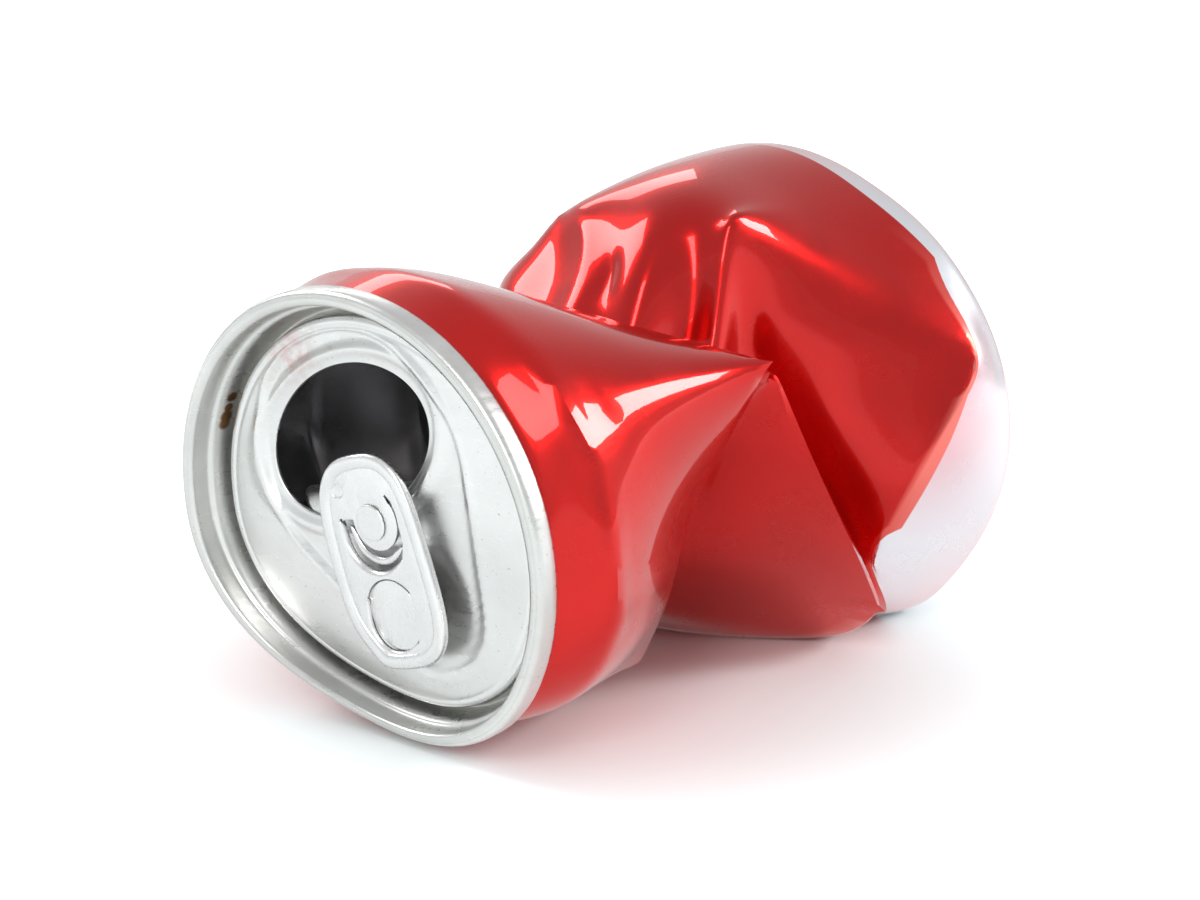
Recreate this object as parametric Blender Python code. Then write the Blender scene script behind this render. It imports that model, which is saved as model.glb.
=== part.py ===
"""Crushed drink can, lying on its side: wall, end with open mouth, pull tab and seam seal.

Axes: X across, Y along the can from its drinking end (-Y) to its base (+Y), Z up.
Z = 0 is the surface it lies on. Sizes below are in millimetres, the mesh is in metres.
"""
import bpy
import bmesh
import math
from mathutils import Matrix, Vector

MM = 0.001

# ---- driving dimensions of the round can -------------------------------------------------
SEAM_R = 27.0            # outer radius of the double seam
SEAM_H = 2.5             # seam height
SHEET = 0.35             # wall thickness of the end
GAP = 0.3                # clearance between two sheets in the seam
BODY_T = 0.3             # wall thickness of the can body
PANEL_R = 23.0           # centre panel of the end
PANEL_DEPTH = 4.1        # panel below the top of the seam
SINK_DEPTH = 6.2         # countersink groove below the top of the seam
BODY_R = 32.8            # radius of the straight wall
BASE_RING_R = 24.3       # standing ring of the base
BASE_H = 10.8            # from the printed edge to the standing ring
DOME_DEPTH = 9.5         # dome pushed up inside the standing ring
DOME_SHOULDER_R = 12.5   # where the dome turns flat

# ---- how it lies ---------------------------------------------------------------------------
LID_CENTRE = Vector((0.0, 0.0, 23.9))
LID_LEAN = math.radians(5.6)       # the drinking end faces slightly down
BASE_CENTRE = Vector((1.0, 78.6, 25.4))
FLOOR = 0.0
MIDDLE = Vector((0.44, 44.48, 0.0))      # middle of the outline: the object's origin goes here

OUT = Vector((0.0, -math.cos(LID_LEAN), -math.sin(LID_LEAN)))     # out of the drinking end
UP = Vector((0.0, -math.sin(LID_LEAN), math.cos(LID_LEAN)))
SIDE = Vector((1.0, 0.0, 0.0))

# ---- end panel, in the end's own plane ------------------------------------------------------
PANEL_TURN = math.radians(27.0)    # the mouth sits up and to the left
TAB_TURN = math.radians(14.5)      # the tab has been swung off the mouth's axis
RIVET = (1.0, 1.0)
MOUTH_AT = 9.2                     # mouth centre, measured from the rivet
MOUTH_SIDE = -0.7                  # and a little to the left of its axis
MOUTH_HALF = (8.2, 13.0)           # along and across its axis
RECESS_TOP = (6.3, 15.0)           # recess: big round end, place and radius
RECESS_FOOT = (-10.0, 8.9)         # recess: small round end
RECESS_DEEP = 0.55
MOUTH_BEAD = 0.5                   # bead round the mouth, height
STUD_R = 1.4                       # rivet that holds the tab
HEAD_R = 2.1
HEAD_H = 0.6
FOOT_R = 2.3                       # swell of the panel at the foot of the rivet
END_SEGMENTS = 56
PANEL_ROWS = (0.86, 0.68, 0.5, 0.34, 0.2, 0.1, 0.0)     # from the panel's rim to the mouth

# ---- mouth panel, torn open and bent into the can --------------------------------------------
TEAR_WIDTH = 9                     # edge points that still hold it
TEAR_ROWS = 7
TEAR_LENGTH = 17.0
TEAR_BEND = math.radians(118.0)
TEAR_HALF = 9.0                    # half its width where it is widest
TEAR_DROP = 0.55                   # how far the hinge line is pressed down

# ---- pull tab ----------------------------------------------------------------------------------
TAB_NOSE = 7.7
TAB_HEEL = 16.3
TAB_HALF = 7.4
HEEL_ROUND = 5.2
TAB_THICK = 1.2
TAB_RIM = 1.7                      # width of the rolled rim
WEB_LOW = 0.4                      # underside of the web above the tab's own underside
WEB_TOP = 0.85                     # and its upper face
TAB_LIFT = 0.85                    # from the panel to the underside of the tab
TAB_SHIFT = -0.5                   # the tab's outline sits a little to one side of its rivet
TAB_EDGE = 0.4                     # rounding of its rim
CRESCENT = (-0.5, 3.6, 5.6, 178, 372)      # centre, inner and outer radius, from and to (degrees)
FINGER_SLIT = (-10.6, 3.9, 4.4, 20, 250)
CUT_PAST = 1.0                     # how far a cutter reaches past the faces that it cuts

# ---- bent rim: the seam is pushed in and back at its lower left --------------------------------
DENT_AT = math.radians(193.0)
DENT_HALF = math.radians(74.0)
DENT_IN = 4.25
DENT_BACK = 2.0

# ---- round third at the base: how far it is pushed in or stands tall, by column ------------------
BASE_DENT = {13: 0.4, 14: 1.2, 15: 2.2, 16: 2.6, 17: 1.3}
BASE_HIGH = {1: 0.3, 2: 0.9, 3: 1.6, 4: 1.9, 5: 1.8, 6: 1.3, 7: 0.6}
BASE_FADE = 9.0                    # both have faded out this far past the printed edge

# ---- how far the wall is pressed in beside the printed edge, above the rear facet, by column -----
FACET_SINK = {6: 0.4, 7: 1.4, 8: 2.4, 9: 2.8, 10: 1.6}

# ---- sealing compound in the seam ----------------------------------------------------------------
SEAL_LOW = 1.05
SEAL_TOP = 0.72
SEAL_IN = 0.2
SEAL_OUT = 0.1


def place(p):
    """From the working millimetres to the object's metres, with the origin under its middle."""
    return (p - MIDDLE) * MM


def material(name, colour, rough, metal):
    m = bpy.data.materials.new(name)
    m.use_nodes = True
    p = m.node_tree.nodes["Principled BSDF"]
    p.inputs["Base Color"].default_value = (*colour, 1.0)
    p.inputs["Roughness"].default_value = rough
    p.inputs["Metallic"].default_value = metal
    return m


def new_object(name, bm, mat):
    mesh = bpy.data.meshes.new(name)
    bm.to_mesh(mesh)
    bm.free()
    mesh.materials.append(mat)
    obj = bpy.data.objects.new(name, mesh)
    bpy.context.scene.collection.objects.link(obj)
    mesh.shade_smooth()
    return obj


def dent_weight(angle):
    """1 in the middle of the bent stretch of the rim, 0 outside it."""
    d = abs((angle - DENT_AT + math.pi) % (2 * math.pi) - math.pi)
    return math.cos(0.5 * math.pi * d / DENT_HALF) ** 2 if d < DENT_HALF else 0.0


def on_end(x, y, depth):
    """A point of the end: x and y in its plane, depth below the top of the seam."""
    r = math.hypot(x, y)
    w = dent_weight(math.atan2(x, y) % (2 * math.pi)) * min(1.0, r / SEAM_R) ** 2
    if r > 1e-6:
        k = (r - DENT_IN * w) / r
        x, y = x * k, y * k
    return LID_CENTRE + SIDE * x + UP * y - OUT * (depth + DENT_BACK * w)


# ================================= can body =====================================================
# The wall is a net of rings. Column angles run clockwise from the top, seen from the mouth.
COLUMNS = [-62, -47, -34, -23, -12, -2, 8, 17, 25, 34, 46, 62, 76, 90, 104, 118, 132, 146,
           160, 175, 190, 205, 221, 238, 256, 277]
N = len(COLUMNS)


def round_gain(c):
    """Widens a ring so that the smoothed surface passes through its true radius."""
    a, b, d = COLUMNS[c - 1], COLUMNS[c], COLUMNS[(c + 1) % N]
    back = math.cos(math.radians(b - a))
    ahead = math.cos(math.radians(d - b))
    return 1.0 / (0.75 + 0.125 * (back + ahead))


def neck_ring(depth, radius):
    ring = []
    for c, deg in enumerate(COLUMNS):
        a = math.radians(deg)
        r = radius * round_gain(c)
        ring.append(on_end(r * math.sin(a), r * math.cos(a), depth))
    return ring


def base_ring(along, radius, flat=True):
    """A ring of the base, 'along' past the printed edge, flattened where it meets the floor."""
    ring = []
    worn = max(0.0, 1.0 - along / BASE_FADE) if flat else 0.0
    for c, deg in enumerate(COLUMNS):
        a = math.radians(deg)
        r = radius * round_gain(c) + worn * (BASE_HIGH.get(c, 0.0) - BASE_DENT.get(c, 0.0))
        p = BASE_CENTRE - OUT * along + SIDE * (r * math.sin(a)) + UP * (r * math.cos(a))
        if flat and p.z < FLOOR:
            p.z = FLOOR
        ring.append(p)
    return ring


def fold_ring(keys, straight=()):
    """A ring through fold points {column: (x, y, z)}. Between two of them it keeps the bow of
    the round can, unless the stretch is named in 'straight' by its first column."""
    cols = sorted(keys)
    ring = [None] * N
    for i, a in enumerate(cols):
        b = cols[(i + 1) % len(cols)]
        pa, pb = Vector(keys[a]), Vector(keys[b])
        span = (b - a) % N
        turn0, turn1 = COLUMNS[a], COLUMNS[b] + (360 if b <= a else 0)
        for k in range(span):
            c = (a + k) % N
            deg = COLUMNS[c] + (360 if c < a else 0)
            t = (deg - turn0) / (turn1 - turn0)
            p = pa.lerp(pb, t)
            if a not in straight and 0 < k < span:
                half = math.radians(turn1 - turn0) / 2
                bow = 30.0 * (math.cos(half * (2 * t - 1)) - math.cos(half))
                out = math.radians(deg)
                p = p + Vector((math.sin(out), 0.0, math.cos(out))) * bow * 0.8
            ring[c] = p
    return ring


def blend_rings(a, b, t, bulge=0.0, sink={}):
    """A ring between two others, pushed out from the can's axis by bulge, less what is sunk."""
    ring = []
    for c, (p, q) in enumerate(zip(a, b)):
        out = math.radians(COLUMNS[c])
        push = bulge - sink.get(c, 0.0)
        p = p.lerp(q, t) + Vector((math.sin(out), 0.0, math.cos(out))) * push
        p.z = max(p.z, FLOOR)
        ring.append(p)
    return ring


def wall_rings():
    """(ring, crease) from the neck to the base. Crease 0 is soft, 1 is a sharp fold."""
    shoulder = fold_ring({
        0: (-27.0, 9.5, 41.0), 2: (-14.0, 9.0, 49.6), 4: (-5.5, 8.2, 51.4), 6: (3.0, 7.5, 51.8),
        8: (11.0, 6.0, 50.6), 10: (21.2, 5.0, 46.0), 11: (26.2, 4.8, 40.8),
        12: (29.4, 7.2, 33.4), 13: (30.9, 7.2, 25.5), 14: (30.4, 8.0, 18.5),
        15: (27.4, 10.0, 12.6), 16: (22.6, 11.5, 7.6), 17: (16.8, 12.5, 4.2),
        18: (10.5, 13.0, 1.9), 19: (2.5, 13.5, 0.2), 20: (-6.5, 13.5, 1.2),
        21: (-14.5, 13.0, 4.0), 22: (-21.5, 12.0, 8.5), 23: (-27.5, 11.0, 15.0),
        24: (-31.0, 10.5, 23.0), 25: (-31.0, 10.0, 33.0)})
    front_fold = fold_ring({
        0: (-27.0, 22.0, 38.0), 2: (-16.0, 21.0, 45.6), 4: (-6.0, 21.5, 48.9),
        11: (31.3, 33.3, 41.9), 13: (22.6, 30.6, 24.6), 15: (21.5, 28.5, 14.8),
        18: (11.5, 35.4, 3.2), 19: (2.5, 36.5, 0.9), 21: (-14.0, 32.5, 1.8),
        23: (-27.0, 28.0, 10.0), 25: (-31.5, 24.0, 28.0)}, straight=(4, 11, 13, 15))
    first_valley = fold_ring({
        0: (-20.0, 32.0, 35.0), 2: (-12.0, 27.5, 41.5), 4: (-4.5, 25.0, 44.6),
        8: (13.5, 31.5, 41.5), 10: (23.0, 34.8, 40.0), 11: (30.4, 35.1, 40.6),
        13: (13.0, 38.5, 24.3), 15: (8.0, 41.5, 14.0), 18: (1.5, 46.5, 5.0),
        20: (-9.0, 44.5, 8.5), 22: (-19.0, 42.0, 13.0), 24: (-24.0, 38.0, 22.0)},
        straight=(4, 8, 11, 13, 15))
    ridge = fold_ring({
        0: (-25.0, 43.0, 37.0), 2: (-12.5, 33.5, 39.0), 4: (-5.5, 27.5, 40.8),
        8: (11.5, 36.5, 38.0), 10: (22.4, 39.4, 37.8), 11: (29.6, 36.3, 40.1),
        12: (30.5, 39.7, 33.7), 13: (31.4, 42.8, 27.9), 14: (31.4, 47.6, 21.4),
        15: (30.1, 54.4, 14.1), 16: (27.5, 62.2, 6.6), 17: (20.6, 66.0, 0.8),
        18: (11.0, 61.0, 0.0), 19: (0.0, 55.5, 0.0), 20: (-9.5, 54.0, 0.6),
        22: (-24.5, 54.0, 7.5), 24: (-33.0, 52.0, 24.0)}, straight=(4, 8, 10, 20))
    deep_valley = fold_ring({
        0: (-16.0, 50.0, 36.0), 2: (-11.0, 38.0, 35.0), 4: (-3.4, 34.0, 35.8),
        5: (1.0, 38.8, 35.8), 6: (7.1, 37.6, 37.0), 7: (8.1, 47.2, 35.4), 8: (14.5, 44.9, 36.5),
        9: (12.4, 51.9, 34.5), 10: (12.8, 54.7, 33.9), 11: (13.4, 56.8, 32.6),
        12: (14.9, 58.0, 27.8), 13: (16.8, 59.7, 22.8), 14: (18.7, 61.3, 18.1),
        15: (20.8, 62.8, 13.9), 16: (22.5, 64.5, 10.6), 17: (20.2, 70.0, 0.5),
        18: (11.0, 68.0, 0.0), 19: (0.0, 66.0, 0.0), 20: (-10.0, 65.0, 0.2),
        21: (-15.5, 64.0, 4.5), 22: (-20.0, 63.0, 11.0), 24: (-22.5, 61.0, 24.0)},
        straight=(0, 2))
    slope = fold_ring({
        0: (-26.8, 55.0, 37.8), 1: (-24.4, 48.5, 40.5), 2: (-19.5, 43.5, 43.5),
        3: (-9.7, 45.2, 44.6), 4: (-2.4, 43.7, 48.1), 5: (1.4, 42.0, 45.3),
        6: (7.9, 40.4, 48.8), 7: (8.7, 49.0, 46.4), 8: (14.1, 47.5, 48.5),
        9: (12.7, 52.6, 44.9), 10: (16.7, 52.8, 42.5), 11: (18.2, 54.7, 36.7),
        12: (19.4, 56.6, 31.0), 13: (20.5, 58.4, 25.8), 14: (21.7, 60.2, 20.8),
        15: (22.8, 62.0, 16.1), 16: (23.7, 63.8, 11.9), 17: (20.0, 73.6, 0.4),
        18: (10.5, 74.0, 0.0), 19: (0.0, 74.0, 0.0), 20: (-10.0, 73.0, 0.0),
        21: (-17.5, 71.0, 3.0), 22: (-23.5, 69.0, 9.5), 24: (-29.0, 67.0, 25.0)})
    rear_edge = fold_ring({
        0: (-28.5, 54.0, 39.5), 1: (-22.9, 50.8, 44.1), 2: (-17.3, 50.2, 48.8),
        3: (-14.1, 50.4, 51.9), 4: (-10.5, 50.2, 54.5), 5: (-5.0, 50.1, 56.5),
        6: (2.1, 49.5, 57.1), 7: (8.9, 48.8, 56.2), 8: (13.2, 49.4, 55.0),
        9: (14.9, 51.6, 52.6), 10: (20.9, 61.6, 45.6), 11: (32.8, 73.4, 37.5),
        12: (32.4, 69.7, 31.9), 13: (31.4, 66.6, 27.4), 14: (29.8, 64.5, 22.4),
        15: (27.0, 63.8, 16.7), 16: (24.1, 64.1, 11.6), 17: (19.8, 76.6, 0.3),
        18: (10.0, 77.0, 0.0), 19: (0.0, 77.0, 0.0), 20: (-11.0, 76.5, 0.0),
        21: (-19.0, 75.0, 2.2), 22: (-26.0, 73.0, 9.0), 24: (-32.6, 70.0, 25.0)})
    printed_edge = base_ring(0.0, BODY_R)
    neck_r = SEAM_R - SHEET - GAP - BODY_T / 2
    return [
        (neck_ring(1.35, neck_r), 0.0),
        (neck_ring(3.3, neck_r), 0.4),
        (shoulder, 0.45),
        (blend_rings(shoulder, front_fold, 0.5, 0.8), 0.0),
        (front_fold, 0.95),
        (first_valley, 0.5),
        (ridge, 0.9),
        (deep_valley, 0.3),
        (slope, 0.0),
        (rear_edge, {2: 0.5, 3: 0.4, 11: 0.8, 12: 0.9, 13: 0.9, 14: 0.9, 15: 0.9}),
        (blend_rings(rear_edge, printed_edge, 0.55, 0.8, FACET_SINK), 0.0),
        (printed_edge, 0.0),
        (base_ring(1.8, BODY_R), 0.2),
        (base_ring(5.0, BODY_R - 2.6), 0.0),
        (base_ring(8.6, BASE_RING_R + 2.2), 0.0),
        (base_ring(BASE_H, BASE_RING_R), 0.4),
        (base_ring(BASE_H - 0.6, BASE_RING_R - 1.6, flat=False), 0.3),
        (base_ring(BASE_H - 3.6, BASE_RING_R - 2.6, flat=False), 0.0),
        (base_ring(BASE_H - DOME_DEPTH * 0.82, DOME_SHOULDER_R, flat=False), 0.0),
    ]


# sharp corners of the folds: (ring, column, how sharp)
CORNERS = [(4, 11, 1.0), (5, 11, 0.5), (6, 11, 0.5), (4, 18, 0.8), (4, 13, 0.4), (6, 16, 1.0),
           (9, 3, 0.7), (9, 8, 0.4), (9, 11, 0.6), (9, 16, 0.8), (2, 10, 0.3), (2, 12, 0.5)]

# folds that run along the can: (ring, column) to the next ring, how sharp
SIDE_FOLDS = {(8, 4): 0.5, (7, 4): 0.3}


def build_body(mat):
    bm = bmesh.new()
    crease = bm.edges.layers.float.new("crease_edge")
    point = bm.verts.layers.float.new("crease_vert")
    rows = []
    for ring, sharp in wall_rings():
        rows.append(([bm.verts.new(place(p)) for p in ring], sharp))
    for (near, _), (far, _) in zip(rows, rows[1:]):
        for c in range(N):
            d = (c + 1) % N
            bm.faces.new((near[c], far[c], far[d], near[d]))
    for row, sharp in rows:
        for c in range(N):
            edge = bm.edges.get((row[c], row[(c + 1) % N]))
            edge[crease] = sharp.get(c, 0.0) if isinstance(sharp, dict) else sharp
    for row, column, sharp in CORNERS:
        rows[row][0][column][point] = sharp
    for (row, column), sharp in SIDE_FOLDS.items():
        edge = bm.edges.get((rows[row][0][column], rows[row + 1][0][column]))
        edge[crease] = sharp
    last = rows[-1][0]
    tip = bm.verts.new(place(BASE_CENTRE - OUT * (BASE_H - DOME_DEPTH)))
    for c in range(N):
        bm.faces.new((last[c], tip, last[(c + 1) % N]))
    bmesh.ops.recalc_face_normals(bm, faces=bm.faces)
    obj = new_object("can_body", bm, mat)
    sub = obj.modifiers.new("smooth_wall", "SUBSURF")
    sub.levels = sub.render_levels = 1
    skin = obj.modifiers.new("wall", "SOLIDIFY")
    skin.thickness = BODY_T * MM
    skin.offset = -1.0
    skin.thickness_clamp = 0.6
    return obj


# ================================= end with open mouth ===========================================
def panel_xy(along, across):
    """From the rivet: along the mouth's axis and across it, to the end's plane."""
    s, c = math.sin(PANEL_TURN), math.cos(PANEL_TURN)
    return RIVET[0] - along * s + across * c, RIVET[1] + along * c + across * s


def panel_uv(x, y):
    s, c = math.sin(PANEL_TURN), math.cos(PANEL_TURN)
    dx, dy = x - RIVET[0], y - RIVET[1]
    return -dx * s + dy * c, dx * c + dy * s


def mouth_edge(angle):
    """Edge of the mouth at an angle from its axis, about its centre."""
    a, b = MOUTH_HALF
    squash = 1.0 - 0.06 * math.cos(angle)
    return MOUTH_AT + a * math.cos(angle), MOUTH_SIDE + b * math.sin(angle) * squash


def step(x):
    x = min(1.0, max(0.0, x))
    return x * x * (3 - 2 * x)


def recess_distance(along, across):
    """Signed distance to the recess: two circles and their common tangents."""
    (c0, r0), (c1, r1) = RECESS_TOP, RECESS_FOOT
    length = c0 - c1
    b = (r0 - r1) / length
    a = math.sqrt(1 - b * b)
    px, py = abs(across), c0 - along
    k = py * a - px * b
    if k < 0:
        return math.hypot(px, py) - r0
    if k > a * length:
        return math.hypot(px, py - length) - r1
    return px * a + py * b - r0


def panel_depth(x, y):
    """Depth of the end's panel, with its recess and the bead round the mouth."""
    along, across = panel_uv(x, y)
    depth = PANEL_DEPTH + RECESS_DEEP * step(0.5 - recess_distance(along, across) / 1.2)
    a, b = MOUTH_HALF
    away = math.hypot((along - MOUTH_AT) / a, (across - MOUTH_SIDE) / b) - 1.0
    bead = (away * 0.5 * (a + b) - 1.7) / 0.9
    return depth - MOUTH_BEAD * math.exp(-bead ** 2)


def build_end(mat):
    bm = bmesh.new()
    inner = SEAM_R - 3 * SHEET - 2 * GAP
    # (radius, depth) of the outer face, from the foot of the seam over to the panel
    profile = [(SEAM_R, SEAM_H), (SEAM_R, 0.5), (SEAM_R - 0.45, 0.0), (inner - 0.2, 0.0),
               (inner - 0.5, 0.5), (inner - 0.8, 3.0), (inner - 0.95, 5.4),
               (inner - 1.2, SINK_DEPTH), (PANEL_R + 0.45, SINK_DEPTH - 0.05),
               (PANEL_R + 0.1, PANEL_DEPTH + 0.5), (PANEL_R - 0.4, PANEL_DEPTH)]
    steps = [i * 2 * math.pi / END_SEGMENTS for i in range(END_SEGMENTS)]
    loops = []
    for r, d in profile:
        loops.append([on_end(r * math.sin(t), r * math.cos(t), d) for t in steps])
    rim_r = PANEL_R - 0.4
    a, b = MOUTH_HALF
    edge, far = [], []
    for t in steps:
        ox, oy = rim_r * math.sin(t), rim_r * math.cos(t)
        along, across = panel_uv(ox, oy)
        angle = math.atan2((across - MOUTH_SIDE) / b, (along - MOUTH_AT) / a)
        edge.append(panel_xy(*mouth_edge(angle)))
        far.append((ox, oy))
    for inset in PANEL_ROWS:
        loop = []
        for (ex, ey), (ox, oy) in zip(edge, far):
            x, y = ex + (ox - ex) * inset, ey + (oy - ey) * inset
            loop.append(on_end(x, y, panel_depth(x, y)))
        loops.append(loop)
    rows = [[bm.verts.new(place(p)) for p in loop] for loop in loops]
    for upper, lower in zip(rows, rows[1:]):
        for c in range(END_SEGMENTS):
            d = (c + 1) % END_SEGMENTS
            bm.faces.new((upper[c], lower[c], lower[d], upper[d]))
    add_torn_panel(bm, rows[-1], edge)
    bmesh.ops.recalc_face_normals(bm, faces=bm.faces)
    if sum((f.normal.dot(OUT) * f.calc_area() for f in bm.faces)) < 0:
        bmesh.ops.reverse_faces(bm, faces=bm.faces)
    obj = new_object("can_end", bm, mat)
    skin = obj.modifiers.new("sheet", "SOLIDIFY")
    skin.thickness = SHEET * MM
    skin.offset = -1.0
    skin.use_even_offset = True
    join = obj.modifiers.new("rivet", "BOOLEAN")
    join.operation = "UNION"
    join.solver = "EXACT"
    join.object = build_rivet()
    return obj


def add_torn_panel(bm, mouth, edge):
    """The opened panel: still joined at the rivet side of the mouth and bent into the can."""
    n = len(mouth)
    cx, cy = panel_xy(MOUTH_AT, 0.0)
    hx, hy = panel_xy(MOUTH_AT - MOUTH_HALF[0], -6.5)
    start = min(range(n), key=lambda i: (edge[i][0] - hx) ** 2 + (edge[i][1] - hy) ** 2)
    cols = [(start + k) % n for k in range(-(TEAR_WIDTH // 2), TEAR_WIDTH // 2 + 1)]
    a = Vector((*edge[cols[0]], 0.0))
    b = Vector((*edge[cols[-1]], 0.0))
    mid = (a + b) / 2
    across = (b - a).normalized()
    inward = Vector((cx, cy, 0.0)) - mid
    inward = (inward - across * inward.dot(across)).normalized()
    previous = [mouth[c] for c in cols]
    hold = (b - a).length / 2
    bent = TEAR_LENGTH / 3.0                # the first third is bent, the rest is flat
    r = bent / TEAR_BEND
    for row in range(1, TEAR_ROWS + 1):
        t = row / TEAR_ROWS
        bend = TEAR_BEND * min(1.0, t * 3.0)
        reach = TEAR_LENGTH * t
        arc = min(reach, bent)
        flat = r * math.sin(arc / r) + max(0.0, reach - arc) * math.cos(bend)
        deep = r * (1 - math.cos(arc / r)) + max(0.0, reach - arc) * math.sin(bend)
        half = hold + (TEAR_HALF - hold) * math.sin(math.pi * min(1.0, t * 0.9 + 0.05)) ** 0.7
        if t > 0.6:
            half *= math.sqrt(max(0.05, 1 - ((t - 0.6) / 0.42) ** 2))
        current = []
        for k in range(len(cols)):
            s = 2 * k / (len(cols) - 1) - 1
            p = mid + inward * (flat + 0.3 * (1 - s * s)) + across * (half * s)
            current.append(bm.verts.new(place(on_end(p.x, p.y, PANEL_DEPTH + TEAR_DROP + deep))))
        for k in range(len(cols) - 1):
            bm.faces.new((previous[k], previous[k + 1], current[k + 1], current[k]))
        previous = current


def end_matrix(x, y, depth, turn=0.0):
    """Local frame on the end: X across, Y up the end, Z out of the can."""
    at = place(on_end(x, y, depth))
    s, c = math.sin(turn), math.cos(turn)
    ex = SIDE * c + UP * s
    ey = UP * c - SIDE * s
    return Matrix(((ex.x, ey.x, OUT.x, at.x), (ex.y, ey.y, OUT.y, at.y),
                   (ex.z, ey.z, OUT.z, at.z), (0, 0, 0, 1)))


def lathe(name, profile, segments):
    """Closed turned solid from (radius, height) points, bottom to top."""
    bm = bmesh.new()
    rings = []
    for r, z in profile:
        rings.append([bm.verts.new((r * MM * math.cos(2 * math.pi * i / segments),
                                    r * MM * math.sin(2 * math.pi * i / segments), z * MM))
                      for i in range(segments)])
    for a, b in zip(rings, rings[1:]):
        for i in range(segments):
            j = (i + 1) % segments
            bm.faces.new((a[i], a[j], b[j], b[i]))
    bm.faces.new(list(reversed(rings[0])))
    bm.faces.new(rings[-1])
    mesh = bpy.data.meshes.new(name)
    bm.to_mesh(mesh)
    bm.free()
    obj = bpy.data.objects.new(name, mesh)
    bpy.context.scene.collection.objects.link(obj)
    return obj


def build_rivet():
    """Stud drawn up out of the panel, staked over the tab with a round head."""
    foot = -0.3                             # rooted in the sheet
    head = TAB_LIFT + RECESS_DEEP + WEB_TOP + GAP
    profile = [(FOOT_R, foot), (FOOT_R, 0.05), (STUD_R, 0.25), (STUD_R, head),
               (HEAD_R, head + 0.02), (HEAD_R, head + 0.35), (HEAD_R - 0.35, head + HEAD_H)]
    obj = lathe("rivet_cutter", profile, 24)
    x, y = RIVET
    obj.matrix_world = end_matrix(x, y, PANEL_DEPTH + RECESS_DEEP)
    obj.hide_render = True
    obj.display_type = "WIRE"
    return obj


# ================================= pull tab ========================================================
def tab_outline(grow=0.0, shift=TAB_SHIFT):
    """Outline of the tab about its rivet: round nose, straight sides, cut-off heel corners."""
    w = TAB_HALF + grow
    nose, heel = TAB_NOSE + grow, -TAB_HEEL - grow
    shoulder = TAB_NOSE - 7.2
    pts = []
    for i in range(0, 13):
        a = math.pi * i / 12
        pts.append((w * 0.93 * math.cos(a), shoulder + (nose - shoulder) * math.sin(a)))
    pts += [(-w, -5.0), (-w * 0.98, -10.5), (-w * 0.86, -13.0)]
    for i in range(0, 7):
        a = math.radians(218 + 104 * i / 6)
        pts.append((w * 0.88 * math.cos(a), heel + HEEL_ROUND * (1.0 + math.sin(a))))
    pts += [(w * 0.86, -13.0), (w * 0.98, -10.5), (w, -5.0)]
    return [(x + shift, y) for x, y in pts]


def prism(name, outline, low, high):
    bm = bmesh.new()
    a = [bm.verts.new((x * MM, y * MM, low * MM)) for x, y in outline]
    b = [bm.verts.new((x * MM, y * MM, high * MM)) for x, y in outline]
    n = len(a)
    for i in range(n):
        j = (i + 1) % n
        bm.faces.new((a[i], a[j], b[j], b[i]))
    bm.faces.new(list(reversed(a)))
    bm.faces.new(b)
    bmesh.ops.recalc_face_normals(bm, faces=bm.faces)
    mesh = bpy.data.meshes.new(name)
    bm.to_mesh(mesh)
    bm.free()
    obj = bpy.data.objects.new(name, mesh)
    bpy.context.scene.collection.objects.link(obj)
    return obj


def circle(cx, cy, r, n=20):
    return [(cx + r * math.cos(2 * math.pi * i / n), cy + r * math.sin(2 * math.pi * i / n))
            for i in range(n)]


def arc_band(cx, cy, r_in, r_out, a0, a1, n=10):
    angles = [math.radians(a0 + (a1 - a0) * i / n) for i in range(n + 1)]
    outer = [(cx + r_out * math.cos(a), cy + r_out * math.sin(a)) for a in angles]
    inner = [(cx + r_in * math.cos(a), cy + r_in * math.sin(a)) for a in reversed(angles)]
    return outer + inner


def build_tab(mat):
    tab = prism("pull_tab", tab_outline(), 0.0, TAB_THICK)
    tab.data.materials.append(mat)
    round_off = tab.modifiers.new("rolled_edge", "BEVEL")
    round_off.width = TAB_EDGE * MM
    round_off.segments = 2
    round_off.limit_method = "ANGLE"
    low, top = -CUT_PAST, TAB_THICK + CUT_PAST
    inside_rim = tab_outline(-TAB_RIM)
    cuts = [
        prism("cut_top", inside_rim, WEB_TOP, top),
        prism("cut_under", inside_rim, low, WEB_LOW),
        prism("cut_rivet", circle(0, 0, STUD_R + GAP), low, top),
        prism("cut_crescent", arc_band(0, *CRESCENT), low, top),
        prism("cut_finger_slit", arc_band(TAB_SHIFT, *FINGER_SLIT), low, top),
    ]
    frame = end_matrix(RIVET[0], RIVET[1], PANEL_DEPTH - TAB_LIFT, TAB_TURN)
    for cut in cuts:
        m = tab.modifiers.new(cut.name, "BOOLEAN")
        m.operation = "DIFFERENCE"
        m.solver = "EXACT"
        m.object = cut
        cut.hide_render = True
        cut.display_type = "WIRE"
        cut.matrix_world = frame
    tab.matrix_world = frame
    tab.data.shade_smooth()
    return tab


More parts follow.
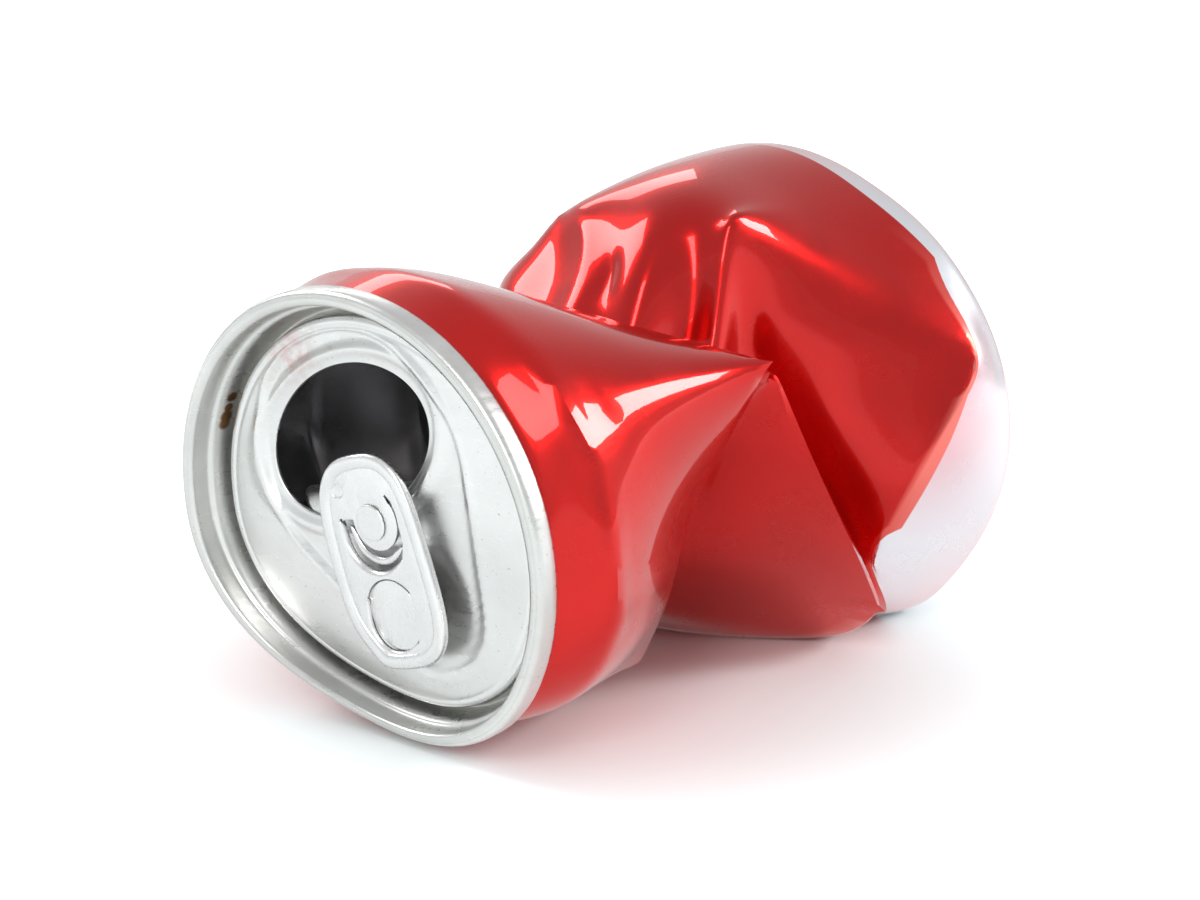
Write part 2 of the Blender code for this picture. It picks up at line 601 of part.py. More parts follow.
# ================================= seam seal ========================================================
def build_seal(mat):
    """Ring of sealing compound inside the top of the double seam."""
    bm = bmesh.new()
    centre = SEAM_R - SHEET - GAP - BODY_T / 2
    section = [(centre - SEAL_IN, SEAL_TOP), (centre + SEAL_OUT, SEAL_TOP),
               (centre + SEAL_OUT, SEAL_LOW), (centre - SEAL_IN, SEAL_LOW)]
    n = END_SEGMENTS
    rings = []
    for i in range(n):
        t = 2 * math.pi * i / n
        rings.append([bm.verts.new(place(on_end(r * math.sin(t), r * math.cos(t), d)))
                      for r, d in section])
    for i in range(n):
        a, b = rings[i], rings[(i + 1) % n]
        for k in range(4):
            m = (k + 1) % 4
            bm.faces.new((a[k], a[m], b[m], b[k]))
    bmesh.ops.recalc_face_normals(bm, faces=bm.faces)
    return new_object("seam_seal", bm, mat)


def main():
    for obj in list(bpy.data.objects):
        bpy.data.objects.remove(obj, do_unlink=True)
    build_body(material("red_lacquer", (0.62, 0.012, 0.010), 0.2, 0.75))
    build_end(material("bare_aluminium", (0.72, 0.73, 0.72), 0.35, 1.0))
    build_tab(material("tab_aluminium", (0.76, 0.77, 0.77), 0.3, 1.0))
    build_seal(material("seam_compound", (0.06, 0.06, 0.06), 0.8, 0.0))


main()
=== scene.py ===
import math

import bmesh
import bpy
import numpy as np
from mathutils import Matrix, Vector


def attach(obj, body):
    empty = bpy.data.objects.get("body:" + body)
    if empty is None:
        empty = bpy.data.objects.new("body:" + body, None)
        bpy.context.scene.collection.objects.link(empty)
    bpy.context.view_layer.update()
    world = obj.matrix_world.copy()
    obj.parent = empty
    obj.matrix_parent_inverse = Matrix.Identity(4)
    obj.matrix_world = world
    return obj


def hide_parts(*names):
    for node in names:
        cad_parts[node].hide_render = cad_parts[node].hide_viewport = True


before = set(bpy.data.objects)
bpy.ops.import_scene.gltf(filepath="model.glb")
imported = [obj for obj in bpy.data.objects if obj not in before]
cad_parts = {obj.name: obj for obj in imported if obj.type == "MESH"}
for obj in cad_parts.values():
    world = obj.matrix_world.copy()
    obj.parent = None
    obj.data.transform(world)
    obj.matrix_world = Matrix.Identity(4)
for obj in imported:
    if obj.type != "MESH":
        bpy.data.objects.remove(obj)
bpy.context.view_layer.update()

MM = 0.001

# ---- the round can, in millimetres ---------------------------
SEAM_R = 27.0                 # outside of the double seam
SHEET = 0.3                   # sheet of the end
BODY_T = 0.25                 # wall
GAP = 0.3                     # room between the folded edges in the seam
PANEL_R = 23.0
PANEL_DEPTH = 4.1             # panel below the top of the seam
BODY_R = 32.8
BASE_RING_R = 24.3            # ring that an upright can stands on
BASE_H = 10.8                 # printed edge to that ring
DOME_DEPTH = 9.5

LID_CENTRE = Vector((0.0, 0.0, 23.9))
LID_LEAN = math.radians(5.6)
BASE_CENTRE = Vector((1.0, 78.6, 25.4))
OUT = Vector((0.0, -math.cos(LID_LEAN), -math.sin(LID_LEAN)))     # out of the end
UP = Vector((0.0, -math.sin(LID_LEAN), math.cos(LID_LEAN)))       # up the end
SIDE = Vector((1.0, 0.0, 0.0))
MIDDLE = Vector((0.44, 44.48, 0.0))

# ---- the panel: 'along' runs from the rivet towards the mouth, 'across' at right angles ----
PANEL_TURN = math.radians(27.0)
RIVET = (1.0, 1.0)
STUD_R = 1.4
RIVET_RISE = (0.35, 3.4)      # height and radius of the raised foot of the rivet
MOUTH_AT = 9.2
MOUTH_SIDE = -0.7
MOUTH_HALF = (8.2, 13.0)
MOUTH_SQUASH = 0.06
MOUTH_BEAD = (0.5, 1.7, 0.9)  # height, distance from the mouth, half width
MOUTH_FOLD = (0.35, 0.012)    # its edge is folded down this far, and in by this share
RECESS_TOP = (6.3, 15.0)      # middle and radius of the recess's wide end
RECESS_FOOT = (-10.0, 8.9)
RECESS_DEEP = 0.55
RECESS_BEAD = (0.12, 0.7, 0.35)
WELL_AT = -10.2               # shallow well under the tab's finger end
WELL_R = 6.4
WELL_DEEP = 0.26
WELL_SLOPE = 2.4

# ---- the pull tab --------------------------------------------
TAB_TURN = math.radians(14.5)
TAB_LIFT = 0.85               # its underside above the panel
TAB_SHIFT = -0.5

# ---- the dent in the lower left of the end -------------------
DENT_AT = math.radians(193.0)
DENT_HALF = math.radians(74.0)
DENT_IN = 4.25
DENT_BACK = 2.0


# ==== shared shape helpers ====================================
def place(p):
    """From the working millimetres to the object's metres, with the origin under its middle."""
    return (Vector(p) - MIDDLE) * MM


def dent_weight(angle):
    """How much of the dent reaches a bearing of the end, 0 to 1."""
    d = abs((angle - DENT_AT + math.pi) % (2 * math.pi) - math.pi)
    return math.cos(0.5 * math.pi * d / DENT_HALF) ** 2 if d < DENT_HALF else 0.0


def on_end(x, y, depth):
    """A point of the end: x and y in its plane, depth below the top of the seam."""
    r = math.hypot(x, y)
    w = dent_weight(math.atan2(x, y) % (2 * math.pi)) * min(1.0, r / SEAM_R) ** 2
    if r > 1e-6:
        k = (r - DENT_IN * w) / r
        x, y = x * k, y * k
    return LID_CENTRE + SIDE * x + UP * y - OUT * (depth + DENT_BACK * w)


def band(bm, a, b, closed=True):
    """Faces between two rows of points."""
    n = len(a)
    for i in range(n if closed else n - 1):
        j = (i + 1) % n
        bm.faces.new((a[i], b[i], b[j], a[j]))


def loose(name, bm):
    """An object from a bmesh that is still to be finished, cut or thickened."""
    mesh = bpy.data.meshes.new(name)
    bm.to_mesh(mesh)
    bm.free()
    obj = bpy.data.objects.new(name, mesh)
    bpy.context.scene.collection.objects.link(obj)
    return obj


def finish(name, bm, material, body):
    """A smooth object from a bmesh, with its material, riding on a body."""
    obj = loose(name, bm)
    obj.data.materials.append(material)
    obj.data.shade_smooth()
    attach(obj, body)
    return obj


def plain(obj):
    """The evaluated object as a mesh, with its modifiers and its place made final."""
    graph = bpy.context.evaluated_depsgraph_get()
    mesh = bpy.data.meshes.new_from_object(obj.evaluated_get(graph))
    mesh.transform(obj.matrix_world)
    obj.modifiers.clear()
    obj.data = mesh
    obj.matrix_world = Matrix.Identity(4)
    return obj


def add_node(tree, kind, inputs=(), **settings):
    """A node with its settings made and its inputs linked to sockets or given values."""
    node = tree.nodes.new(kind)
    for key, value in settings.items():
        setattr(node, key, value)
    for key, value in dict(inputs).items():
        if isinstance(value, bpy.types.NodeSocket):
            tree.links.new(value, node.inputs[key])
        else:
            node.inputs[key].default_value = value
    return node


# ==== can wall ================================================
# the folded net: rings of columns round the can, each column at a bearing in degrees from the top
COLUMNS = [-62, -47, -34, -23, -12, -2, 8, 17, 25, 34, 46, 62, 76, 90, 104, 118, 132, 146,
           160, 175, 190, 205, 221, 238, 256, 277]
N = len(COLUMNS)
FLOOR = 0.0
FOLD_BOW = 24.0               # radius of the bow that a stretch of wall keeps between folds
NECK_R = SEAM_R - SHEET - GAP - BODY_T / 2


def round_gain(c):
    """Widens a ring so that the smoothed surface passes through its true radius."""
    a, b, d = COLUMNS[c - 1], COLUMNS[c], COLUMNS[(c + 1) % N]
    back = math.cos(math.radians(b - a))
    ahead = math.cos(math.radians(d - b))
    return 1.0 / (0.75 + 0.125 * (back + ahead))


def neck_ring(depth, radius):
    """A ring just behind the end, which follows the end's dent."""
    ring = []
    for c, deg in enumerate(COLUMNS):
        a = math.radians(deg)
        r = radius * round_gain(c)
        ring.append(on_end(r * math.sin(a), r * math.cos(a), depth))
    return ring


# changes of the base's radius by column: pressed in at the lower right, a little tall at the top
BASE_DENT = {13: 0.4, 14: 1.2, 15: 2.2, 16: 2.6, 17: 1.3}
BASE_HIGH = {1: 0.3, 2: 0.9, 3: 1.6, 4: 1.9, 5: 1.8, 6: 1.3, 7: 0.6}
BASE_FADE = 9.0

# how far the wall is pressed in beside the printed edge, above the rear facet, by column
FACET_SINK = {6: 0.4, 7: 1.4, 8: 2.4, 9: 2.8, 10: 1.6}


def base_ring(along, radius, flat=True):
    """A ring of the base, 'along' past the printed edge, flattened where it meets the floor."""
    ring = []
    worn = max(0.0, 1.0 - along / BASE_FADE) if flat else 0.0
    for c, deg in enumerate(COLUMNS):
        a = math.radians(deg)
        r = radius * round_gain(c) + worn * (BASE_HIGH.get(c, 0.0) - BASE_DENT.get(c, 0.0))
        p = BASE_CENTRE - OUT * along + SIDE * (r * math.sin(a)) + UP * (r * math.cos(a))
        if flat and p.z < FLOOR:
            p.z = FLOOR
        ring.append(p)
    return ring


def fold_ring(keys, straight=()):
    """A ring through fold points {column: (x, y, z)}. Between two of them it keeps the bow of
    the round can, unless the stretch is named in 'straight' by its first column."""
    cols = sorted(keys)
    ring = [None] * N
    for i, a in enumerate(cols):
        b = cols[(i + 1) % len(cols)]
        pa, pb = Vector(keys[a]), Vector(keys[b])
        span = (b - a) % N
        turn0, turn1 = COLUMNS[a], COLUMNS[b] + (360 if b <= a else 0)
        for k in range(span):
            c = (a + k) % N
            deg = COLUMNS[c] + (360 if c < a else 0)
            t = (deg - turn0) / (turn1 - turn0)
            p = pa.lerp(pb, t)
            if a not in straight and 0 < k < span:
                half = math.radians(turn1 - turn0) / 2
                bow = FOLD_BOW * (math.cos(half * (2 * t - 1)) - math.cos(half))
                out = math.radians(deg)
                p = p + Vector((math.sin(out), 0.0, math.cos(out))) * bow
            ring[c] = p
    return ring


def blend_rings(a, b, t, bulge=0.0, sink=None):
    """A ring between two others, pushed out from the can's axis by bulge, less what is sunk."""
    ring = []
    sink = sink or {}
    for c, (p, q) in enumerate(zip(a, b)):
        out = math.radians(COLUMNS[c])
        push = bulge - sink.get(c, 0.0)
        p = p.lerp(q, t) + Vector((math.sin(out), 0.0, math.cos(out))) * push
        p.z = max(p.z, FLOOR)
        ring.append(p)
    return ring


def wall_rings():
    """(ring, crease) from the neck to the base. Crease 0 is soft, 1 is a sharp fold."""
    shoulder = fold_ring({
        0: (-27.0, 9.5, 41.0), 2: (-14.0, 9.0, 49.6), 4: (-5.5, 8.2, 51.4), 6: (3.0, 7.5, 51.8),
        8: (11.0, 6.0, 50.6), 10: (21.2, 5.0, 46.0), 11: (26.2, 4.8, 40.8),
        12: (29.4, 7.2, 33.4), 13: (30.9, 7.2, 25.5), 14: (30.4, 8.0, 18.5),
        15: (27.4, 10.0, 12.6), 16: (22.6, 11.5, 7.6), 17: (16.8, 12.5, 4.2),
        18: (10.5, 13.0, 1.9), 19: (2.5, 13.5, 0.2), 20: (-6.5, 13.5, 1.2),
        21: (-14.5, 13.0, 4.0), 22: (-21.5, 12.0, 8.5), 23: (-27.5, 11.0, 15.0),
        24: (-31.0, 10.5, 23.0), 25: (-31.0, 10.0, 33.0)})
    front_fold = fold_ring({
        0: (-27.0, 22.0, 38.0), 2: (-16.0, 21.0, 45.6), 4: (-6.0, 21.5, 48.9),
        11: (31.3, 33.3, 41.9), 13: (22.6, 30.6, 24.6), 15: (21.5, 28.5, 14.8),
        18: (11.5, 35.4, 3.2), 19: (2.5, 36.5, 0.9), 21: (-14.0, 32.5, 1.8),
        23: (-27.0, 28.0, 10.0), 25: (-31.5, 24.0, 28.0)}, straight=(4, 11, 13, 15))
    first_valley = fold_ring({
        0: (-20.0, 32.0, 35.0), 2: (-12.0, 27.5, 41.5), 4: (-4.5, 25.0, 44.6),
        8: (13.5, 31.5, 41.5), 10: (23.0, 34.8, 40.0), 11: (30.4, 35.1, 40.6),
        13: (13.0, 38.5, 24.3), 15: (8.0, 41.5, 14.0), 18: (1.5, 46.5, 5.0),
        20: (-9.0, 44.5, 8.5), 22: (-19.0, 42.0, 13.0), 24: (-24.0, 38.0, 22.0)},
        straight=(4, 8, 11, 13, 15))
    ridge = fold_ring({
        0: (-25.0, 43.0, 37.0), 2: (-12.5, 33.5, 39.0), 4: (-5.5, 27.5, 40.8),
        8: (11.5, 36.5, 38.0), 10: (22.4, 39.4, 37.8), 11: (29.6, 36.3, 40.1),
        12: (30.5, 39.7, 33.7), 13: (31.4, 42.8, 27.9), 14: (31.4, 47.6, 21.4),
        15: (30.1, 54.4, 14.1), 16: (27.5, 62.2, 6.6), 17: (20.6, 66.0, 0.8),
        18: (11.0, 61.0, 0.0), 19: (0.0, 55.5, 0.0), 20: (-9.5, 54.0, 0.6),
        22: (-24.5, 54.0, 7.5), 24: (-33.0, 52.0, 24.0)}, straight=(4, 8, 10, 20))
    deep_valley = fold_ring({
        0: (-16.0, 50.0, 36.0), 2: (-11.0, 38.0, 35.0), 4: (-3.4, 34.0, 35.8),
        5: (1.0, 38.8, 35.8), 6: (7.1, 37.6, 37.0), 7: (8.1, 47.2, 35.4), 8: (14.5, 44.9, 36.5),
        9: (12.4, 51.9, 34.5), 10: (12.8, 54.7, 33.9), 11: (13.4, 56.8, 32.6),
        12: (14.9, 58.0, 27.8), 13: (16.8, 59.7, 22.8), 14: (18.7, 61.3, 18.1),
        15: (20.8, 62.8, 13.9), 16: (22.5, 64.5, 10.6), 17: (20.2, 70.0, 0.5),
        18: (11.0, 68.0, 0.0), 19: (0.0, 66.0, 0.0), 20: (-10.0, 65.0, 0.2),
        21: (-15.5, 64.0, 4.5), 22: (-20.0, 63.0, 11.0), 24: (-22.5, 61.0, 24.0)},
        straight=(0, 2))
    slope = fold_ring({
        0: (-26.8, 55.0, 37.8), 1: (-24.4, 48.5, 40.5), 2: (-19.5, 43.5, 43.5),
        3: (-9.7, 45.2, 44.6), 4: (-2.4, 43.7, 48.1), 5: (1.4, 42.0, 45.3),
        6: (7.9, 40.4, 48.8), 7: (8.7, 49.0, 46.4), 8: (14.1, 47.5, 48.5),
        9: (12.7, 52.6, 44.9), 10: (16.7, 52.8, 42.5), 11: (18.2, 54.7, 36.7),
        12: (19.4, 56.6, 31.0), 13: (20.5, 58.4, 25.8), 14: (21.7, 60.2, 20.8),
        15: (22.8, 62.0, 16.1), 16: (23.7, 63.8, 11.9), 17: (20.0, 73.6, 0.4),
        18: (10.5, 74.0, 0.0), 19: (0.0, 74.0, 0.0), 20: (-10.0, 73.0, 0.0),
        21: (-17.5, 71.0, 3.0), 22: (-23.5, 69.0, 9.5), 24: (-29.0, 67.0, 25.0)})
    rear_edge = fold_ring({
        0: (-28.5, 54.0, 39.5), 1: (-22.9, 50.8, 44.1), 2: (-17.3, 50.2, 48.8),
        3: (-14.1, 50.4, 51.9), 4: (-10.5, 50.2, 54.5), 5: (-5.0, 50.1, 56.5),
        6: (2.1, 49.5, 57.1), 7: (8.9, 48.8, 56.2), 8: (13.2, 49.4, 55.0),
        9: (14.9, 51.6, 52.6), 10: (20.9, 61.6, 45.6), 11: (32.8, 73.4, 37.5),
        12: (32.4, 69.7, 31.9), 13: (31.4, 66.6, 27.4), 14: (29.8, 64.5, 22.4),
        15: (27.0, 63.8, 16.7), 16: (24.1, 64.1, 11.6), 17: (19.8, 76.6, 0.3),
        18: (10.0, 77.0, 0.0), 19: (0.0, 77.0, 0.0), 20: (-11.0, 76.5, 0.0),
        21: (-19.0, 75.0, 2.2), 22: (-26.0, 73.0, 9.0), 24: (-32.6, 70.0, 25.0)})
    printed_edge = base_ring(0.0, BODY_R)
    return [
        (neck_ring(1.35, NECK_R), 0.0),
        (neck_ring(3.3, NECK_R), 0.4),
        (shoulder, 0.45),
        (blend_rings(shoulder, front_fold, 0.5, 0.8), 0.0),
        (front_fold, 0.95),
        (first_valley, 0.5),
        (ridge, 0.9),
        (deep_valley, 0.3),
        (slope, 0.0),
        (rear_edge, {2: 0.5, 3: 0.4, 11: 0.8, 12: 0.9, 13: 0.9, 14: 0.9, 15: 0.9}),
        (blend_rings(rear_edge, printed_edge, 0.55, 0.8, FACET_SINK), 0.0),
        (printed_edge, 0.0),
        (base_ring(1.8, BODY_R), 0.2),
        (base_ring(5.0, BODY_R - 2.6), 0.0),
        (base_ring(8.6, BASE_RING_R + 2.2), 0.0),
        (base_ring(BASE_H, BASE_RING_R), 0.4),
        (base_ring(BASE_H - 0.6, BASE_RING_R - 1.6, flat=False), 0.3),
        (base_ring(BASE_H - 3.6, BASE_RING_R - 2.6, flat=False), 0.0),
        (base_ring(BASE_H - DOME_DEPTH * 0.82, 12.5, flat=False), 0.0),
    ]


# sharp corners of the folds: (ring, column, how sharp)
CORNERS = [(4, 11, 1.0), (5, 11, 0.5), (6, 11, 0.5), (4, 18, 0.8), (4, 13, 0.4), (6, 16, 1.0),
           (9, 3, 0.7), (9, 8, 0.4), (9, 11, 0.6), (9, 16, 0.8), (2, 10, 0.3), (2, 12, 0.5)]

# folds that run along the can: (ring, column) to the next ring, how sharp
SIDE_FOLDS = {(8, 4): 0.5, (7, 4): 0.3}


def near_path(points, path):
    """For each point: distance to a chain of straight pieces, and how far along it is, 0 to 1."""
    path = np.array(path, float)
    seg = np.linalg.norm(np.diff(path, axis=0), axis=1)
    start = np.concatenate([[0.0], np.cumsum(seg)])
    best = np.full(len(points), 1e9)
    along = np.zeros(len(points))
    for i, length in enumerate(seg):
        a, d = path[i], (path[i + 1] - path[i]) / length
        t = np.clip((points - a) @ d, 0.0, length)
        away = np.linalg.norm(points - (a + t[:, None] * d), axis=1)
        closer = away < best
        best[closer] = away[closer]
        along[closer] = (start[i] + t[closer]) / start[-1]
    return best, along


# the ring where the print ends, by column: bare metal is folded forward at the right
PRINT_RING = {11: 10.0, 12: 9.3, 13: 9.3, 14: 9.25, 15: 9.2, 16: 8.4, 17: 9.2, 18: 10.2}
LAST_PRINTED = 11.0

# dents and creases pressed into the wall: path, half width, height (+ out), taper at the ends
STROKES = [
    ([(22.2, 5.8, 44.8), (24.2, 5.7, 42.7), (26.0, 6.1, 40.3), (27.6, 6.7, 37.3),
      (29.0, 7.5, 33.6)], 1.1, 0.35, 0.2),
    ([(29.2, 7.6, 32.8), (29.8, 7.4, 29.2), (30.2, 7.4, 25.0), (30.0, 8.4, 20.5),
      (27.7, 12.1, 15.1)], 1.7, 0.35, 0.2),
    ([(24.1, 8.8, 43.6), (26.3, 8.9, 40.9), (27.8, 9.3, 37.9)], 1.1, -0.35, 0.3),
    ([(-0.7, 44.7, 49.2), (0.1, 43.4, 47.4), (0.4, 42.1, 45.2), (0.4, 41.3, 43.8)],
     1.3, -0.5, 0.3)]

WALL_LEVELS = 3               # times that the net is smoothed
WALL_SHARP = math.radians(34)


def wall_skin():
    """Outer skin of the wall: the folded net, smoothed, with its small dents and creases."""
    bm = bmesh.new()
    crease = bm.edges.layers.float.new("crease_edge")
    point = bm.verts.layers.float.new("crease_vert")
    past_print = bm.verts.layers.float.new("past_print")
    rows = []
    for i, (ring, sharp) in enumerate(wall_rings()):
        rows.append(([bm.verts.new(p) for p in ring], sharp))
        for c, vert in enumerate(rows[-1][0]):
            vert[past_print] = i - PRINT_RING.get(c, LAST_PRINTED)
    for (near, _), (far, _) in zip(rows, rows[1:]):
        band(bm, near, far)
    for row, sharp in rows:
        for c in range(N):
            edge = bm.edges.get((row[c], row[(c + 1) % N]))
            edge[crease] = sharp.get(c, 0.0) if isinstance(sharp, dict) else sharp
    for row, column, sharp in CORNERS:
        rows[row][0][column][point] = sharp
    for (row, column), sharp in SIDE_FOLDS.items():
        bm.edges.get((rows[row][0][column], rows[row + 1][0][column]))[crease] = sharp
    last = rows[-1][0]
    tip = bm.verts.new(BASE_CENTRE - OUT * (BASE_H - DOME_DEPTH))
    tip[past_print] = len(rows)
    for c in range(N):
        bm.faces.new((last[c], tip, last[(c + 1) % N]))
    bmesh.ops.recalc_face_normals(bm, faces=bm.faces)
    net = loose("wall_net", bm)
    smooth = net.modifiers.new("smooth", "SUBSURF")
    smooth.levels = smooth.render_levels = WALL_LEVELS
    graph = bpy.context.evaluated_depsgraph_get()
    skin = bpy.data.meshes.new_from_object(net.evaluated_get(graph))
    bpy.data.objects.remove(net, do_unlink=True)
    n = len(skin.vertices)
    co = np.empty(n * 3)
    skin.vertices.foreach_get("co", co)
    co = co.reshape(-1, 3)
    normal = np.empty(n * 3)
    skin.vertex_normals.foreach_get("vector", normal)
    normal = normal.reshape(-1, 3)
    shift = np.zeros(n)
    for path, width, height, taper in STROKES:
        away, along = near_path(co, path)
        ends = np.clip(np.minimum(along, 1 - along) / max(taper, 1e-6), 0, 1)
        shift += height * np.exp(-(away / width) ** 2) * ends
    co = co + normal * shift[:, None]
    co[:, 2] = np.maximum(co[:, 2], FLOOR)
    skin.vertices.foreach_set("co", ((co - np.array(MIDDLE)) * MM).ravel())
    return skin


def build_wall(outer, inner):
    """The wall's skin thickened inwards, lacquered red outside and clear inside."""
    skin = wall_skin()
    skin.materials.clear()
    skin.materials.append(outer)
    skin.materials.append(inner)
    skin.shade_smooth()
    wall = bpy.data.objects.new("can_wall", skin)
    bpy.context.scene.collection.objects.link(wall)
    thick = wall.modifiers.new("thick", "SOLIDIFY")
    thick.thickness = BODY_T * MM
    thick.offset = -1.0
    thick.material_offset = 1
    plain(wall)
    wall.data.set_sharp_from_angle(angle=WALL_SHARP)
    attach(wall, "can")
    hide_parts("can_body")


# ==== end with the open mouth =================================
END_STEPS = 168
PANEL_ROWS = 34               # rows from the panel's edge to the mouth, closer near the mouth
ROW_SPREAD = 1.25


def panel_xy(along, across):
    """From the panel's own directions to x and y in the end's plane."""
    s, c = math.sin(PANEL_TURN), math.cos(PANEL_TURN)
    return RIVET[0] - along * s + across * c, RIVET[1] + along * c + across * s


def panel_uv(x, y):
    """From x and y in the end's plane to the panel's own directions."""
    s, c = math.sin(PANEL_TURN), math.cos(PANEL_TURN)
    dx, dy = x - RIVET[0], y - RIVET[1]
    return -dx * s + dy * c, dx * c + dy * s


def mouth_edge(angle):
    """The mouth's outline: an oval, a little fuller towards the rivet."""
    a, b = MOUTH_HALF
    squash = 1.0 - MOUTH_SQUASH * math.cos(angle)
    return MOUTH_AT + a * math.cos(angle), MOUTH_SIDE + b * math.sin(angle) * squash


def step(x):
    """Smooth step from 0 to 1."""
    x = min(1.0, max(0.0, x))
    return x * x * (3 - 2 * x)


def capsule(along, across, top, foot):
    """Distance to the outline round two circles of different size, negative inside."""
    (c0, r0), (c1, r1) = top, foot
    length = c0 - c1
    b = (r0 - r1) / length
    a = math.sqrt(1 - b * b)
    px, py = abs(across), c0 - along
    k = py * a - px * b
    if k < 0:
        return math.hypot(px, py) - r0
    if k > a * length:
        return math.hypot(px, py - length) - r1
    return px * a + py * b - r0


def bead(distance, size):
    """Height of a rounded bead (height, place, half width) at a distance from an outline."""
    height, place, half = size
    return height * math.exp(-((distance - place) / half) ** 2)


def panel_depth(x, y):
    """Depth of the panel: recess with its fine edge bead, bead round the mouth, finger well."""
    along, across = panel_uv(x, y)
    d = capsule(along, across, RECESS_TOP, RECESS_FOOT)
    depth = PANEL_DEPTH + RECESS_DEEP * step(0.5 - d)
    depth -= bead(d, RECESS_BEAD)
    a, b = MOUTH_HALF
    away = (math.hypot((along - MOUTH_AT) / a, (across - MOUTH_SIDE) / b) - 1.0) * 0.5 * (a + b)
    depth -= bead(away, MOUTH_BEAD)
    well = math.hypot(along - WELL_AT, across) - WELL_R
    depth += WELL_DEEP * step(0.5 - well / WELL_SLOPE)
    rise, radius = RIVET_RISE
    r = math.hypot(x - RIVET[0], y - RIVET[1])
    depth -= rise * math.exp(-(r / radius) ** 4)
    return depth


SEAM_IN = 25.35               # inner face of the double seam
# (radius, depth) of the end's face from the foot of the seam over to the panel
END_PROFILE = [
    (SEAM_R - 0.05, 2.5), (SEAM_R, 2.3), (SEAM_R, 1.6), (SEAM_R, 0.95), (SEAM_R - 0.05, 0.6),
    (SEAM_R - 0.16, 0.34), (SEAM_R - 0.34, 0.14), (SEAM_R - 0.55, 0.05), (SEAM_R - 0.72, 0.07),
    (SEAM_R - 0.86, 0.02), (SEAM_R - 1.1, 0.0), (SEAM_R - 1.35, 0.04), (SEAM_IN - 0.08, 0.2),
    (SEAM_IN - 0.17, 0.5), (SEAM_IN - 0.2, 1.0), (SEAM_IN - 0.22, 1.6), (SEAM_IN - 0.25, 2.1),
    (SEAM_IN - 0.32, 2.42), (SEAM_IN - 0.46, 2.6), (SEAM_IN - 0.62, 2.66), (SEAM_IN - 0.76, 2.78),
    (SEAM_IN - 0.86, 3.1), (SEAM_IN - 0.94, 3.7), (SEAM_IN - 1.02, 4.5), (SEAM_IN - 1.1, 5.2),
    (SEAM_IN - 1.18, 5.7), (SEAM_IN - 1.3, 6.02), (SEAM_IN - 1.5, 6.2), (SEAM_IN - 1.68, 6.2),
    (PANEL_R + 0.5, 6.02), (PANEL_R + 0.4, 5.7), (PANEL_R + 0.33, 5.1), (PANEL_R + 0.24, 4.6),
    (PANEL_R + 0.1, 4.28), (PANEL_R - 0.1, 4.12), (PANEL_R - 0.35, 4.06), (PANEL_R - 0.6, 4.09),
    (PANEL_R - 0.76, 4.18), (PANEL_R - 0.92, 4.2), (PANEL_R - 1.08, 4.13), (PANEL_R - 1.3, 4.1)]
PANEL_START = PANEL_R - 1.3


def painted_shade_at(r, depth):
    """How much painted shade darkens the metal: the groove, the seam's inner wall and fine line,
    the rim.
    """
    line = 0.8 if abs(r - SEAM_R + 0.72) < 0.05 else 0.0
    inner_wall = 0.75 if r < SEAM_IN and 0.4 < depth < 2.5 else 0.0
    rim = 0.45 if r > SEAM_IN - 1.0 and depth < 3.2 else 0.0
    return max(step((depth - 4.6) / 1.4), line, inner_wall, rim)


def build_end_sheet(outer, inner):
    """The end with its seam, groove, panel and mouth, and the torn panel bent in."""
    bm = bmesh.new()
    # painted shade in the groove, the seam and the rim, kept on each vertex
    painted_shade = bm.verts.layers.float.new("painted_shade")
    steps = [i * 2 * math.pi / END_STEPS for i in range(END_STEPS)]
    loops = [[on_end(r * math.sin(t), r * math.cos(t), d) for t in steps] for r, d in END_PROFILE]
    a, b = MOUTH_HALF
    edge, far = [], []
    for t in steps:
        ox, oy = PANEL_START * math.sin(t), PANEL_START * math.cos(t)
        along, across = panel_uv(ox, oy)
        angle = math.atan2((across - MOUTH_SIDE) / b, (along - MOUTH_AT) / a)
        edge.append(panel_xy(*mouth_edge(angle)))
        far.append((ox, oy))
    for i in range(1, PANEL_ROWS + 1):
        reach = (1 - i / PANEL_ROWS) ** ROW_SPREAD
        loop = []
        for (ex, ey), (ox, oy) in zip(edge, far):
            x, y = ex + (ox - ex) * reach, ey + (oy - ey) * reach
            loop.append(on_end(x, y, panel_depth(x, y)))
        loops.append(loop)
    # the edge of the mouth is folded down a little
    fold, fold_in = MOUTH_FOLD
    cx, cy = panel_xy(MOUTH_AT, MOUTH_SIDE)
    loops.append([on_end(ex + (cx - ex) * fold_in, ey + (cy - ey) * fold_in,
                         panel_depth(ex, ey) + fold) for ex, ey in edge])
    rows = [[bm.verts.new(place(p)) for p in loop] for loop in loops]
    for (r, d), row in zip(END_PROFILE, rows):
        for vert in row:
            vert[painted_shade] = painted_shade_at(r, d)
    for upper, lower in zip(rows, rows[1:]):
        band(bm, upper, lower)
    add_torn_panel(bm, rows[-1], edge)
    bmesh.ops.recalc_face_normals(bm, faces=bm.faces)
    if sum(f.normal.dot(OUT) * f.calc_area() for f in bm.faces) < 0:
        bmesh.ops.reverse_faces(bm, faces=bm.faces)
    obj = loose("end_sheet", bm)
    obj.data.materials.append(outer)
    obj.data.materials.append(inner)
    obj.data.shade_smooth()
    thick = obj.modifiers.new("thick", "SOLIDIFY")
    thick.thickness = SHEET * MM
    thick.offset = -1.0
    thick.use_even_offset = True
    thick.material_offset = 0
    plain(obj)
    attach(obj, "can")
    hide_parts("can_end")


